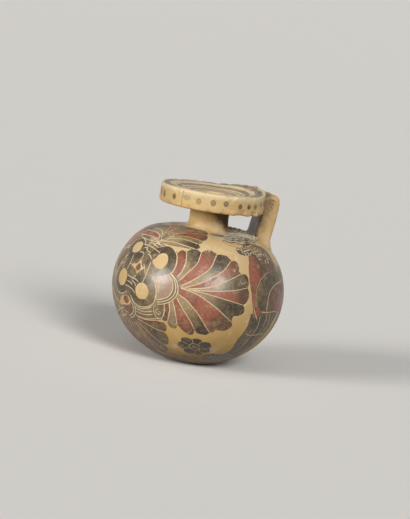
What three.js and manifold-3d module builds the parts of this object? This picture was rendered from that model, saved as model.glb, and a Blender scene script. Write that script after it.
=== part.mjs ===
// Round oil flask with a plate mouth and a strap handle, in millimetres, +Z up.
// The origin is the middle of the resting ring. The handle stands on the +Y side.
import * as THREE from 'three';
import { mergeVertices } from 'three/addons/utils/BufferGeometryUtils.js';
import Module from 'manifold-3d';

const manifold = await Module();
manifold.setup();

// Driving dimensions of the body
const bodyRadius = 36;
const bodyHalfHeight = 31.5;
const bodyCentre = 30.5;
const bodyWall = 3;
const bodyFloor = 4;
const innerSquareness = 2.6;
const dimpleRadius = 7;
const dimpleDepth = 0.8;
const dimpleFlatShare = 0.7;
const shoulderRadius = 26;
const shoulderTurnIn = 2.4;
const shoulderTurnFall = 1.6;
const shoulderFlatIn = 8;
const shoulderFlatFall = 0.5;
const seatRadius = 10.2;
const seatHeight = 56.1;
const bodyHoleRadius = 5;

// Driving dimensions of the neck
const boreRadius = 4.5;
const neckRadius = 8.1;
const neckTopRadius = 8.7;
const neckTop = 66.4;
const neckTopLap = 1;
const filletHeight = 1.9;
const filletHollow = 0.4;

// Driving dimensions of the mouth plate, which sits a little askew on the neck
const plateRadius = 21.85;
const plateTop = 72.6;
const plateBottom = 64.9;
const plateEdgeRound = 0.9;
const plateUnderRise = 0.45;
const plateUnderRun = 6;
const plateSeatRadius = 9.4;
const plateDish = 1.8;
const plateBand = 4.2;
const plateBandFall = 0.1;
const mouthSlope = 4.5;
const mouthLip = 1.2;
const mouthLipRound = 0.3;
const plateLean = THREE.MathUtils.degToRad(0.4);
const rimLift = 2.4;
const rimLiftInner = 12;
const rimLiftAngle = THREE.MathUtils.degToRad(108);
const rimLiftFrontSpread = THREE.MathUtils.degToRad(75);
const rimLiftBackSpread = THREE.MathUtils.degToRad(60);

// Driving dimensions of the handle
const strapWidth = 14;
const strapEdgeRound = 1.4;
const strapOuter = 28.1;
const strapInner = 19.5;
const strapTop = 74;
const strapTopFall = 0.4;
const strapTopRun = 3.6;
const strapCorner = 69.4;
const strapInnerTop = 66.4;
const strapFoot = 49;
const strapFootWidening = 1.22;
// How far the outer side has come in at three heights on its way down
const strapOuterLine = [
  { height: strapFoot, inset: 2.6 },
  { height: 59, inset: 1.1 },
  { height: 65, inset: 0.2 },
];
const footPadHalfWidth = 10.4;
const footPadHalfDepth = 5.8;
const footPadHeight = 2.6;
const footPadPlace = 22.8;
const footPadLevel = 53.4;
const footPadTilt = -0.42;

// Fineness and the gap kept where one piece is trimmed to another
const turnSteps = 48;
const bellySteps = 11;
const upperSteps = 7;
const shoulderSteps = 6;
const insideSteps = 14;
const curveSteps = 5;
const padSteps = 24;
const trimGap = 0.3;
const trimReach = 20;

const bodyClay = { color: 0xc49a64, roughness: 0.62, metalness: 0 };
const neckClay = { color: 0xcaa26e, roughness: 0.66, metalness: 0 };
const plateClay = { color: 0xd0aa78, roughness: 0.66, metalness: 0 };
const strapClay = { color: 0xc8a274, roughness: 0.7, metalness: 0 };

function namedMesh(name, geometry, look) {
  const mesh = new THREE.Mesh(geometry, new THREE.MeshStandardMaterial(look));
  mesh.name = name;
  return mesh;
}

// Turns a profile about Z. Profile points are (radius, height).
function turned(profile) {
  const geometry = new THREE.LatheGeometry(profile, turnSteps);
  geometry.rotateX(Math.PI / 2);
  return geometry;
}

function toSolid(geometry) {
  const bare = geometry.clone();
  bare.deleteAttribute('normal');
  bare.deleteAttribute('uv');
  const merged = mergeVertices(bare, 1e-4);
  const vertProperties = new Float32Array(merged.attributes.position.array);
  const triVerts = new Uint32Array(merged.index.array);
  return new manifold.Manifold(new manifold.Mesh({ numProp: 3, vertProperties, triVerts }));
}

function toGeometry(solid) {
  const mesh = solid.getMesh();
  const geometry = new THREE.BufferGeometry();
  geometry.setAttribute('position', new THREE.BufferAttribute(mesh.vertProperties, 3));
  geometry.setIndex(new THREE.BufferAttribute(mesh.triVerts, 1));
  geometry.computeVertexNormals();
  return geometry;
}

// Ellipse arc of the wall: from the ground out to the widest point, then up to the shoulder
function bodyArc(grow) {
  const across = bodyRadius + grow;
  const upright = bodyHalfHeight + grow;
  const start = -Math.asin(bodyCentre / bodyHalfHeight);
  const end = Math.acos(shoulderRadius / bodyRadius);
  const points = [];
  for (let i = -bellySteps; i <= upperSteps; i += 1) {
    const angle = i < 0 ? (-start * i) / bellySteps : (end * i) / upperSteps;
    points.push(new THREE.Vector2(across * Math.cos(angle), bodyCentre + upright * Math.sin(angle)));
  }
  return points;
}

// Flatter shoulder, from the end of the arc in to the seat of the neck
function shoulderCurve(grow) {
  const arcTop = bodyArc(grow).at(-1);
  return new THREE.CubicBezierCurve(
    arcTop,
    new THREE.Vector2(shoulderRadius - shoulderTurnIn, seatHeight - shoulderTurnFall + grow),
    new THREE.Vector2(shoulderRadius - shoulderFlatIn, seatHeight - shoulderFlatFall + grow),
    new THREE.Vector2(seatRadius, seatHeight + grow),
  );
}

// The inside is a squarish oval, so that the wall stays even under the flat shoulder
function bodyInside() {
  const across = bodyRadius - bodyWall;
  const points = [];
  for (let i = 0; i <= insideSteps; i += 1) {
    const angle = Math.PI / 2 - (Math.PI * i) / insideSteps;
    const high = angle > 0;
    const power = 2 / (high ? innerSquareness : 2);
    const upright = high ? seatHeight - bodyWall - bodyCentre : bodyCentre - bodyFloor;
    const radius = across * Math.max(Math.cos(angle), 0) ** power;
    const height = bodyCentre + Math.sign(angle) * upright * Math.abs(Math.sin(angle)) ** power;
    if (radius > bodyHoleRadius || !high) points.push(new THREE.Vector2(radius, height));
  }
  points[points.length - 1].x = 0;
  return points;
}

function bodyGeometry() {
  const profile = [
    new THREE.Vector2(0, dimpleDepth),
    new THREE.Vector2(dimpleRadius * dimpleFlatShare, dimpleDepth * dimpleFlatShare),
    new THREE.Vector2(dimpleRadius, 0),
    ...bodyArc(0),
    ...shoulderCurve(0).getPoints(shoulderSteps).slice(1),
    new THREE.Vector2(bodyHoleRadius, seatHeight),
    new THREE.Vector2(bodyHoleRadius, seatHeight - bodyWall),
    ...bodyInside(),
  ];
  return turned(profile);
}

// Solid copy of the outside of the body, grown by the trimming gap
function bodyTrimmer() {
  const profile = [
    new THREE.Vector2(0, 0),
    ...bodyArc(trimGap),
    ...shoulderCurve(trimGap).getPoints(shoulderSteps).slice(1),
    new THREE.Vector2(0, seatHeight + trimGap),
  ];
  return toSolid(turned(profile));
}

// Leans the mouth toward the side away from the handle, about the top of the neck
function leaned(geometry) {
  geometry.translate(0, 0, -neckTop);
  geometry.rotateX(plateLean);
  geometry.translate(0, 0, neckTop);
  return geometry;
}

// Points of a quarter round of the rim's edge, from angle start to angle end
function rimRound(height, start, end) {
  const centre = new THREE.Vector2(plateRadius - plateEdgeRound, height);
  const arc = new THREE.EllipseCurve(centre.x, centre.y, plateEdgeRound, plateEdgeRound, start, end);
  return arc.getPoints(2);
}

// The rim is pushed up beside the handle, most at its edge
function lifted(geometry) {
  const position = geometry.attributes.position;
  for (let i = 0; i < position.count; i += 1) {
    const point = new THREE.Vector3().fromBufferAttribute(position, i);
    const turn = Math.atan2(point.y, point.x) - rimLiftAngle;
    const spread = turn < 0 ? rimLiftFrontSpread : rimLiftBackSpread;
    const near = 1 - THREE.MathUtils.smoothstep(Math.abs(turn), 0, spread);
    const outward = THREE.MathUtils.smoothstep(Math.hypot(point.x, point.y), rimLiftInner, plateRadius);
    const high = THREE.MathUtils.smoothstep(point.z, plateBottom, plateTop);
    position.setZ(i, point.z + rimLift * near * outward * high);
  }
  return geometry;
}

function plateGeometry() {
  const dishHeight = plateTop - plateDish;
  const underRim = new THREE.QuadraticBezierCurve(
    new THREE.Vector2(plateSeatRadius, neckTop),
    new THREE.Vector2(plateRadius - plateUnderRun, plateBottom + plateUnderRise),
    new THREE.Vector2(plateRadius - 2 * plateEdgeRound, plateBottom),
  );
  const profile = [
    new THREE.Vector2(boreRadius, neckTop),
    ...underRim.getPoints(curveSteps),
    ...rimRound(plateBottom + plateEdgeRound, -Math.PI / 2, 0),
    ...rimRound(plateTop - plateEdgeRound, 0, Math.PI / 2),
    new THREE.Vector2(plateRadius - plateBand, plateTop - plateBandFall),
    new THREE.Vector2(boreRadius + mouthSlope, dishHeight + plateBandFall),
    new THREE.Vector2(boreRadius + mouthLip, dishHeight),
    new THREE.Vector2(boreRadius + mouthLipRound, dishHeight - mouthLipRound),
    new THREE.Vector2(boreRadius, dishHeight - mouthLip),
    new THREE.Vector2(boreRadius, neckTop),
  ];
  return leaned(lifted(turned(profile)));
}

// Round plug of the mouth plate's outline, grown by the gap and open upward, for trimming
function plateTrimmer(radius, bottom) {
  const plug = turned([
    new THREE.Vector2(0, bottom),
    new THREE.Vector2(radius, bottom),
    new THREE.Vector2(radius, plateTop + trimReach),
    new THREE.Vector2(0, plateTop + trimReach),
  ]);
  return toSolid(leaned(plug));
}

function neckGeometry() {
  const flare = new THREE.QuadraticBezierCurve(
    new THREE.Vector2(neckRadius, seatHeight + filletHeight),
    new THREE.Vector2(neckRadius, neckTop - neckTopLap),
    new THREE.Vector2(neckTopRadius, neckTop + neckTopLap),
  );
  const tube = turned([
    new THREE.Vector2(boreRadius, seatHeight),
    new THREE.Vector2(neckRadius, seatHeight),
    ...flare.getPoints(curveSteps),
    new THREE.Vector2(boreRadius, neckTop + neckTopLap),
    new THREE.Vector2(boreRadius, seatHeight),
  ]);
  return toGeometry(toSolid(tube).subtract(plateTrimmer(plateRadius, neckTop - trimGap)));
}

// Ring of luting clay that rounds the corner between neck and shoulder
function neckFilletGeometry() {
  const hollow = new THREE.QuadraticBezierCurve(
    new THREE.Vector2(seatRadius, seatHeight),
    new THREE.Vector2(neckRadius + filletHollow, seatHeight + filletHollow),
    new THREE.Vector2(neckRadius, seatHeight + filletHeight),
  );
  return turned([
    new THREE.Vector2(neckRadius, seatHeight),
    ...hollow.getPoints(curveSteps),
    new THREE.Vector2(neckRadius, seatHeight),
  ]);
}

// Side outline of the strap in (y, z): out from the rim, sharply down, and in to the shoulder
function strapOutline(grow) {
  const outside = strapOuterLine.map(
    ({ height, inset }) => new THREE.Vector2(strapOuter - inset + grow, height),
  );
  const outline = new THREE.Shape();
  outline.moveTo(strapInner - grow, strapInnerTop);
  outline.lineTo(strapInner - grow, strapFoot);
  outline.lineTo(outside[0].x, outside[0].y);
  outline.splineThru([...outside.slice(1), new THREE.Vector2(strapOuter + grow, strapCorner)]);
  outline.quadraticCurveTo(
    strapOuter + grow,
    strapTop + grow,
    strapOuter - strapTopRun,
    strapTop + grow,
  );
  outline.lineTo(strapInner - grow, strapTop - strapTopFall + grow);
  outline.closePath();
  return outline;
}

// The strap is the outline pushed to its width with rounded edges, wider toward the foot
function strapSolid(grow) {
  const edge = strapEdgeRound;
  const geometry = new THREE.ExtrudeGeometry(strapOutline(grow - edge), {
    depth: strapWidth - 2 * edge + 2 * grow,
    curveSegments: curveSteps,
    bevelEnabled: true,
    bevelSegments: 3,
    bevelThickness: edge,
    bevelSize: edge,
  });
  geometry.rotateX(Math.PI / 2);
  geometry.rotateZ(Math.PI / 2);
  geometry.translate(-(strapWidth / 2 - edge + grow), 0, 0);
  const position = geometry.attributes.position;
  for (let i = 0; i < position.count; i += 1) {
    const drop = THREE.MathUtils.clamp((strapTop - position.getZ(i)) / (strapTop - strapFoot), 0, 1);
    position.setX(i, position.getX(i) * (1 + (strapFootWidening - 1) * drop * drop));
  }
  return toSolid(geometry);
}

function strapGeometry() {
  const rim = plateTrimmer(plateRadius + trimGap, plateBottom - trimGap);
  return toGeometry(strapSolid(0).subtract(rim).subtract(bodyTrimmer()));
}

// Collar of luting clay pressed round the foot of the strap
function footPadGeometry() {
  const pad = new THREE.SphereGeometry(1, padSteps, padSteps / 2);
  pad.rotateX(Math.PI / 2);
  pad.scale(footPadHalfWidth, footPadHalfDepth, footPadHeight);
  pad.rotateX(footPadTilt);
  pad.translate(0, footPadPlace, footPadLevel);
  return toGeometry(toSolid(pad).subtract(strapSolid(trimGap)).subtract(bodyTrimmer()));
}

const flask = new THREE.Group();
flask.name = 'aryballos';
flask.add(namedMesh('body', bodyGeometry(), bodyClay));
flask.add(namedMesh('neck', neckGeometry(), neckClay));
flask.add(namedMesh('neck_fillet', neckFilletGeometry(), neckClay));
flask.add(namedMesh('mouth_plate', plateGeometry(), plateClay));
flask.add(namedMesh('handle_strap', strapGeometry(), strapClay));
flask.add(namedMesh('handle_foot_fillet', footPadGeometry(), strapClay));

export default flask;
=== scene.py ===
import math

import bpy
import numpy as np
from mathutils import Matrix, Vector
from mathutils.geometry import delaunay_2d_cdt
from mathutils.bvhtree import BVHTree
from mathutils.kdtree import KDTree


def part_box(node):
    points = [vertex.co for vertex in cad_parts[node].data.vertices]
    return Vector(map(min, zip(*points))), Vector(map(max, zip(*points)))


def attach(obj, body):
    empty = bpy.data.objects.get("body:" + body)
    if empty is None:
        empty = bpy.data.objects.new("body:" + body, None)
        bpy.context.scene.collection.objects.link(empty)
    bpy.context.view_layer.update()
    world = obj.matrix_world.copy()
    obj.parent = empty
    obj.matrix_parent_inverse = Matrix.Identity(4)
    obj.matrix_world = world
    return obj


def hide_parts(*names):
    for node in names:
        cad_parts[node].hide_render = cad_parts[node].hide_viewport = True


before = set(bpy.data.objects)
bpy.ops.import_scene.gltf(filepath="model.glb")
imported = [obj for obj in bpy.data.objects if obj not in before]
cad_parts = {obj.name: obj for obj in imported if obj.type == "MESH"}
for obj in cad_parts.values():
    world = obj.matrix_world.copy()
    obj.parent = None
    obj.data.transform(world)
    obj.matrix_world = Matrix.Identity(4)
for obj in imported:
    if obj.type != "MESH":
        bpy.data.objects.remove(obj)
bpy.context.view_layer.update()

# Lengths below are in millimetres, as the flask was measured. mm turns them into metres.
mm = 0.001
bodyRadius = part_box("body")[1].x / mm
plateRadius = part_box("mouth_plate")[1].x / mm
bodyCentre = 30.5
plateLean = math.radians(0.4)
plateSeat = 66.4


def makeMesh(name, points, faces, material):
    mesh = bpy.data.meshes.new(name)
    mesh.from_pydata([tuple(p) for p in np.asarray(points) * mm], [], faces)
    mesh.materials.append(material)
    mesh.polygons.foreach_set("use_smooth", [True] * len(mesh.polygons))
    mesh.update()
    piece = bpy.data.objects.new(name, mesh)
    bpy.context.scene.collection.objects.link(piece)
    return piece


def seat(piece, slotName, *nodes):
    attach(piece, "root")
    if nodes:
        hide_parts(*nodes)


# Soft unevenness of hand-shaped clay: a few sine waves in seeded directions
def waver(points, wavelength, amount, seed):
    dice = np.random.default_rng(seed)
    total = np.zeros(len(points))
    for _ in range(9):
        way = dice.normal(size=3)
        way /= np.linalg.norm(way)
        turns = 2 * math.pi / (wavelength * dice.uniform(0.7, 1.5))
        total += np.sin(points @ way * turns + dice.uniform(0, 2 * math.pi))
    return total * amount / 3


# waves is a list of (wavelength, height, seed)
def unevenness(points, waves):
    return sum(waver(points, *wave) for wave in waves)


# Points round the flask's axis
def around(radius, turn, height):
    return np.stack(np.broadcast_arrays(radius * np.cos(turn), radius * np.sin(turn), height), -1)


def eased(share):
    share = np.clip(share, 0, 1)
    return share * share * (3 - 2 * share)


# A smooth run through given points, with a point about every step millimetres
def smoothRun(points, step=0.55, closed=False):
    p = np.array(points, float)
    if closed:
        ring = np.vstack([p[-1], p, p[0], p[1]])
    else:
        ring = np.vstack([2 * p[0] - p[1], p, 2 * p[-1] - p[-2]])
    out = []
    for i in range(1, len(ring) - 2):
        a, b, c, d = ring[i - 1:i + 3]
        count = max(1, int(round(np.linalg.norm(c - b) / step)))
        for k in range(count):
            t = k / count
            out.append(0.5 * (2 * b + (c - a) * t + (2 * a - 5 * b + 4 * c - d) * t * t
                              + (3 * b - a - 3 * c + d) * t ** 3))
    if not closed:
        out.append(p[-1])
    return np.array(out)


# Materials. A node's inputs are keyed by the socket's name or number, and hold a socket or a value.
def addNode(tree, kind, inputs=None, settings=None):
    node = tree.nodes.new(kind)
    for key, value in (settings or {}).items():
        setattr(node, key, value)
    for key, value in (inputs or {}).items():
        if isinstance(value, bpy.types.NodeSocket):
            tree.links.new(value, node.inputs[key])
        else:
            node.inputs[key].default_value = value
    return node.outputs


def sums(tree, operation, first, second):
    return addNode(tree, "ShaderNodeMath", {0: first, 1: second},
                   {"operation": operation, "use_clamp": True})[0]


def vectorMath(tree, operation, first, second):
    key = "Scale" if operation == "SCALE" else 1
    found = addNode(tree, "ShaderNodeVectorMath", {0: first, key: second}, {"operation": operation})
    return found["Value" if operation == "DOT_PRODUCT" else "Vector"]


# size is the width of one blotch in millimetres, and offset moves to another part of the pattern
def noiseAt(tree, place, size, detail, rough=0.55, offset=0.0):
    if offset:
        place = vectorMath(tree, "ADD", place, (offset, offset * 0.7, -offset))
    return addNode(tree, "ShaderNodeTexNoise", {"Vector": place, "Scale": 1 / (size * mm),
                                                "Detail": detail, "Roughness": rough})["Fac"]


def between(tree, value, low, high):
    return addNode(tree, "ShaderNodeMapRange", {"Value": value, "From Min": low, "From Max": high},
                   {"interpolation_type": "SMOOTHSTEP"})["Result"]


# A layer is (size, detail, roughness, offset, where it begins, where it is full)
def layerAt(tree, place, layer, shift=0.0):
    size, detail, rough, offset, begin, full = layer
    return between(tree, noiseAt(tree, place, size, detail, rough, offset + shift), begin, full)


def blendColour(tree, factor, first, second):
    first, second = ((*v, 1) if isinstance(v, tuple) else v for v in (first, second))
    inputs = {0: factor, 6: first, 7: second}
    return addNode(tree, "ShaderNodeMix", inputs, {"data_type": "RGBA"})[2]


def laidOver(tree, colour, cover, amount, tint):
    return blendColour(tree, sums(tree, "MULTIPLY", cover, amount), colour, tint)


def spread(tree, value, low, high):
    return addNode(tree, "ShaderNodeMapRange", {"Value": value, "To Min": low, "To Max": high})[0]


# heights is a list of (height, depth in millimetres)
def bumped(tree, heights):
    inputs = {}
    for height, depth in heights:
        inputs.update({"Height": height, "Strength": 1.0, "Distance": depth * mm})
        inputs["Normal"] = addNode(tree, "ShaderNodeBump", inputs)["Normal"]
    return inputs["Normal"]


def startMaterial(name):
    material = bpy.data.materials.new(name)
    material.use_nodes = True
    tree = material.node_tree
    tree.nodes.clear()
    place = addNode(tree, "ShaderNodeTexCoord")["Object"]
    return material, tree, place


# inputs are those of the shader, such as its colour and roughness
def finishMaterial(tree, inputs):
    shader = addNode(tree, "ShaderNodeBsdfPrincipled", inputs)[0]
    addNode(tree, "ShaderNodeOutputMaterial", {"Surface": shader})


clayLook = {
    "buff": (0.60, 0.44, 0.235),
    "warm": (0.60, 0.39, 0.145),
    "pale": (0.70, 0.56, 0.35),
    "soot": (0.14, 0.085, 0.04),
    "tintAlong": (0.060, 0.027, 0.005),
    "lime": (0.42, 0.385, 0.30),
    "line": (0.68, 0.58, 0.42),
    "crust": (0.55, 0.47, 0.34),
    "layers": {  # size, detail, roughness, offset, where it begins, where it is full
        "blotch": (16, 4, 0.55, 0.0, 0.36, 0.70),
        "smear": (11, 6, 0.65, 0.7, 0.56, 0.74),
        "grit": (0.42, 2, 0.55, 1.1, 0.66, 0.76),
        "pits": (1.3, 6, 0.7, 9.4, 0.60, 0.74),
        "lime": (5, 9, 0.72, 1.9, 0.60, 0.70),
    },
    "bloom": (7, 5, 0.55, 0.3, 0.5, 0.72),
    "tintEdge": (3, 4, 0.55, 4.4),
    "sheen": (9, 4, 0.55, 2.3),
    "dullest": 0.58,
    "glossiest": 0.34,
    "specular": 0.25,
    "bumps": [((3.2, 5, 0.6, 2.9), 0.10), ((1.4, 6, 0.7, 6.6), 0.06), ((0.5, 3, 0.55, 3.3), 0.03)],
    "limeBump": 0.04,
}


# Fired clay: buff with blotches, warmer from one height to another, with grit, pits and grey lime.
# The argument after warmTo is (direction, begin, end, amount, tint) for a tint that grows along a
# direction: painted shade under the body and on the neck, partly painted light on top of the mouth
# plate, and a darker inner edge on the handle.
def clayMaterial(name, limeAmount=0.25, sootAmount=0.35, warmFrom=44, warmTo=12, tintAlong=None,
                 bloomShift=0.0):
    material, tree, place = startMaterial(name)
    look = clayLook
    cover = {key: layerAt(tree, place, layer) for key, layer in look["layers"].items()}
    height = addNode(tree, "ShaderNodeSeparateXYZ", {"Vector": place})["Z"]
    warmed = sums(tree, "MULTIPLY", between(tree, height, warmFrom * mm, warmTo * mm), 0.65)
    warmed = sums(tree, "ADD", sums(tree, "MULTIPLY", cover["blotch"], 0.5), warmed)
    colour = blendColour(tree, warmed, look["buff"], look["warm"])
    bloom = layerAt(tree, place, look["bloom"], bloomShift)
    colour = blendColour(tree, bloom, colour, look["pale"])
    colour = laidOver(tree, colour, cover["smear"], sootAmount, look["soot"])
    # A tint grown along a direction: painted shade on the body and neck, partly painted light on
    # the mouth.
    if tintAlong:
        direction, begin, end, amount, tint = tintAlong
        along = vectorMath(tree, "DOT_PRODUCT", place, direction)
        ragged = noiseAt(tree, place, *look["tintEdge"])
        uneven = addNode(tree, "ShaderNodeMath", {0: ragged, 1: (end - begin) * mm, 2: along},
                         {"operation": "MULTIPLY_ADD"})[0]
        tintShare = between(tree, uneven, (begin + end) / 2 * mm, (1.5 * end - 0.5 * begin) * mm)
        colour = laidOver(tree, colour, tintShare, amount, look[tint])
    colour = laidOver(tree, colour, cover["grit"], sootAmount + 0.15, look["soot"])
    colour = laidOver(tree, colour, cover["pits"], sootAmount, look["soot"])
    colour = laidOver(tree, colour, cover["lime"], limeAmount, look["lime"])
    sheen = noiseAt(tree, place, *look["sheen"])
    bumps = [(noiseAt(tree, place, *layer), depth) for layer, depth in look["bumps"]]
    finishMaterial(tree, {"Base Color": colour, "Specular IOR Level": look["specular"],
                          "Roughness": spread(tree, sheen, look["glossiest"], look["dullest"]),
                          "Normal": bumped(tree, bumps + [(cover["lime"], look["limeBump"])])})
    return material


slipLook = {
    "black": (0.026, 0.016, 0.006),
    "blackThin": (0.31, 0.220, 0.11),
    "grey": (0.33, 0.29, 0.22),
    "greyThin": (0.63, 0.55, 0.42),
    "brown": (0.085, 0.037, 0.015),
    "umber": (0.17, 0.070, 0.035),
    "umberThin": (0.34, 0.235, 0.15),
    "dot": (0.075, 0.045, 0.014),
    "dotThin": (0.38, 0.28, 0.12),
    "red": (0.30, 0.085, 0.050),
    "redThin": (0.098, 0.045, 0.020),
    "wearTo": (0.54, 0.40, 0.22),
    "faded": (0.36, 0.25, 0.15),
    "layers": {  # size, detail, roughness, offset, where it begins, where it is full
        "mottle": (3.4, 8, 0.7, 0.0, 0.49, 0.68),
        "cloud": (10, 3, 0.6, 8.2, 0.49, 0.68),
        "patchy": (6.5, 7, 0.68, 12.3, 0.50, 0.66),
        "dust": (1.1, 5, 0.7, 0.4, 0.5, 0.76),
        "specks": (0.7, 3, 0.6, 5.3, 0.67, 0.72),
    },
    "dustAmount": 0.22,
    "speckAmount": 0.55,
    "hairs": [(5.0, 6.1), (3.0, 7.7)],  # size and offset of the noise that hairlines follow
    "hairWidth": 0.006,
    "hairGaps": (4, 3, 0.55, 1, 0.5, 0.58),
    "hairAmount": 0.5,
    "flakes": (2.6, 9, 0.78, 0.9),
    "glossiest": 0.33,
    "dullest": 0.55,
    "specular": 0.68,
    "bumps": [((3.2, 5, 0.6, 2.9), 0.10), ((0.5, 3, 0.55, 3.3), 0.018)],
    "wearBump": -0.02,
}


# Painted slip: mottled and worn to the clay. It turns to its second colour as "thin" rises.
def slipMaterial(name, full, thin, wearLow=0.63, wearHigh=0.72, mottling=0.36, fading=0.3):
    material, tree, place = startMaterial(name)
    look = slipLook
    cover = {key: layerAt(tree, place, layer) for key, layer in look["layers"].items()}
    dry = addNode(tree, "ShaderNodeAttribute", None, {"attribute_name": "thin"})["Fac"]
    uneven = sums(tree, "ADD", cover["mottle"], cover["cloud"])
    dryness = sums(tree, "ADD", dry, sums(tree, "MULTIPLY", uneven, mottling))
    colour = blendColour(tree, dryness, look[full], look[thin])
    colour = laidOver(tree, colour, cover["patchy"], fading, look["faded"])
    colour = laidOver(tree, colour, cover["dust"], look["dustAmount"], look["wearTo"])
    colour = laidOver(tree, colour, cover["specks"], look["speckAmount"], look["wearTo"])
    for size, offset in look["hairs"]:  # a hairline lies where the noise crosses its middle value
        noise = noiseAt(tree, place, size, 1.5, offset=offset)
        apart = addNode(tree, "ShaderNodeMath", {0: noise, 1: 0.5, 2: look["hairWidth"]},
                        {"operation": "COMPARE"})[0]
        broken = sums(tree, "MULTIPLY", apart, layerAt(tree, place, look["hairGaps"], offset))
        colour = laidOver(tree, colour, broken, look["hairAmount"], look["wearTo"])
    flakes = noiseAt(tree, place, *look["flakes"])
    lifted = sums(tree, "ADD", flakes, sums(tree, "MULTIPLY", dry, 0.06))
    worn = between(tree, lifted, wearLow, wearHigh)
    dull = sums(tree, "ADD", worn, cover["mottle"])
    bumps = [(noiseAt(tree, place, *layer), depth) for layer, depth in look["bumps"]]
    finishMaterial(tree, {"Base Color": blendColour(tree, worn, colour, look["wearTo"]),
                          "Roughness": spread(tree, dull, look["glossiest"], look["dullest"]),
                          "Specular IOR Level": look["specular"],
                          "Normal": bumped(tree, bumps + [(worn, look["wearBump"])])})
    return material


# Bare clay at the bottom of the incised lines, and the lime crust
def plainMaterial(name, first, second, size, roughness):
    material, tree, place = startMaterial(name)
    share = layerAt(tree, place, (size, 5, 0.6, 0.0, 0.35, 0.68))
    grain = noiseAt(tree, place, 0.6, 4, offset=1.3)
    finishMaterial(tree, {"Base Color": blendColour(tree, share, first, second),
                          "Roughness": roughness, "Normal": bumped(tree, [(grain, 0.03)])})
    return material


# Darker toward the bottom: painted shade under the body.
bodyClay = clayMaterial("body_clay", tintAlong=((0, 0, 1), 9, 2, 0.75, "tintAlong"))
# Paler toward the top face: a pale wash, and painted light on top of the mouth plate.
mouthClay = clayMaterial("mouth_clay", 0.6, 0.45, 73, 60, ((0, 0, 1), 70.2, 71.8, 0.9, "pale"), 3.3)
# The neck's own browner clay, warmer toward the top as painted shade under the mouth plate, and
# darker on its right side in a slanting band: painted shadow of the mouth plate.
neckClay = clayMaterial("neck_clay", 0.2, 0.4, 52, 64, ((0.31, 0.95, 1.15), 70.5, 76, 0.9, "tintAlong"))
handleClay = clayMaterial("handle_clay", 0.5, 0.75, 62, 82,
                          ((0, -1, 0.14), -16.5, -11, 0.7, "tintAlong"))
lineClay = plainMaterial("line_clay", clayLook["line"], clayLook["buff"], 2.4, 0.7)
crustLime = plainMaterial("crust_lime", clayLook["lime"], clayLook["crust"], 1.1, 0.85)
blackSlip = slipMaterial("black_slip", "black", "blackThin")
redSlip = slipMaterial("red_slip", "red", "redThin", 0.60, 0.72, mottling=0.66, fading=0.5)
greySlip = slipMaterial("grey_slip", "grey", "greyThin", 0.60, 0.70)
brownSlip = slipMaterial("brown_slip", "brown", "blackThin", 0.66, 0.76, fading=0.0)
umberSlip = slipMaterial("umber_slip", "umber", "umberThin", 0.64, 0.74)
dotSlip = slipMaterial("dot_slip", "dot", "dotThin", 0.60, 0.72)
print("materials made")

# Body: an oval turned about Z, with a flatter shoulder and a small flat ring to stand on
bodyShape = {
    "halfHeight": 31.5,
    "trim": 0.16,
    "shoulderHeight": 26.0,
    "shoulderFall": 0.05,
    "shoulderTurn": 14,
    "baseTurn": 60,
    "level": 0.05,  # within this rise from the middle neither shoulder nor ground cuts the oval
    "farAway": 1e6,
    "unit": 30,  # lengths are divided by this before they are raised to a high power
    "dimpleRadius": 7.0,
    "dimpleDepth": 0.8,
    "dimplePower": 0.7,
    "dimpleBelow": 5,
    "holeRadius": 5.0,
    "holeEdge": 0.2,
    "holeRings": 6,
    "holeClear": 0.3,
    "wall": 3.0,
    "floor": 4.0,
    "innerPower": 2.6,
    "seatRadius": 9.4,
    "seatSteps": (8.6, 7.4, 6.2, 5.3),
    "holeStep": 0.55,
    "innerSteps": 60,
    "waves": [(26, 0.10, 3), (8, 0.025, 4)],  # wavelength, height, seed
    "calmHeight": 3,  # the waves fade out below this height, so that the flask stands flat
    "around": 288,
    "rise": math.radians(0.9),
}


# Distance from the middle of the body to its skin, at each angle of rise
def bodyReach(rise):
    shape = bodyShape
    level, farAway, unit = shape["level"], shape["farAway"], shape["unit"]
    across = bodyRadius - shape["trim"]
    oval = 1 / np.sqrt((np.cos(rise) / across) ** 2 + (np.sin(rise) / shape["halfHeight"]) ** 2)
    slope = np.maximum(np.sin(rise) + shape["shoulderFall"] * np.cos(rise), 1e-3)
    shoulder = np.where(rise > level, shape["shoulderHeight"] / slope, farAway)
    turn = shape["shoulderTurn"]
    reach = (oval ** -turn + shoulder ** -turn) ** (-1 / turn)
    ground = np.where(rise < -level, bodyCentre / np.maximum(-np.sin(rise), 1e-3), farAway)
    turn = shape["baseTurn"]
    return ((reach / unit) ** -turn + (ground / unit) ** -turn) ** (-1 / turn) * unit


def bodyPoints(angle, rise, lift=0.0):
    angle, rise = np.broadcast_arrays(np.asarray(angle, float), np.asarray(rise, float))
    way = np.stack([np.cos(rise) * np.cos(angle), np.cos(rise) * np.sin(angle), np.sin(rise)], -1)
    flat = way.reshape(-1, 3)
    smooth = flat * bodyReach(rise).reshape(-1, 1)
    uneven = unevenness(smooth, bodyShape["waves"])
    calm = np.clip((smooth[:, 2] + bodyCentre) / bodyShape["calmHeight"], 0, 1)
    points = smooth + flat * (uneven * calm + lift)[:, None]
    points[:, 2] += bodyCentre
    out = np.hypot(points[:, 0], points[:, 1])
    hollow = np.clip(1 - (out / bodyShape["dimpleRadius"]) ** 2, 0, 1) ** bodyShape["dimplePower"]
    ground = np.maximum(points[:, 2], 0) + hollow * bodyShape["dimpleDepth"]
    points[:, 2] = np.where(points[:, 2] < bodyShape["dimpleBelow"], ground, points[:, 2])
    return points.reshape(*angle.shape, 3)


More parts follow.
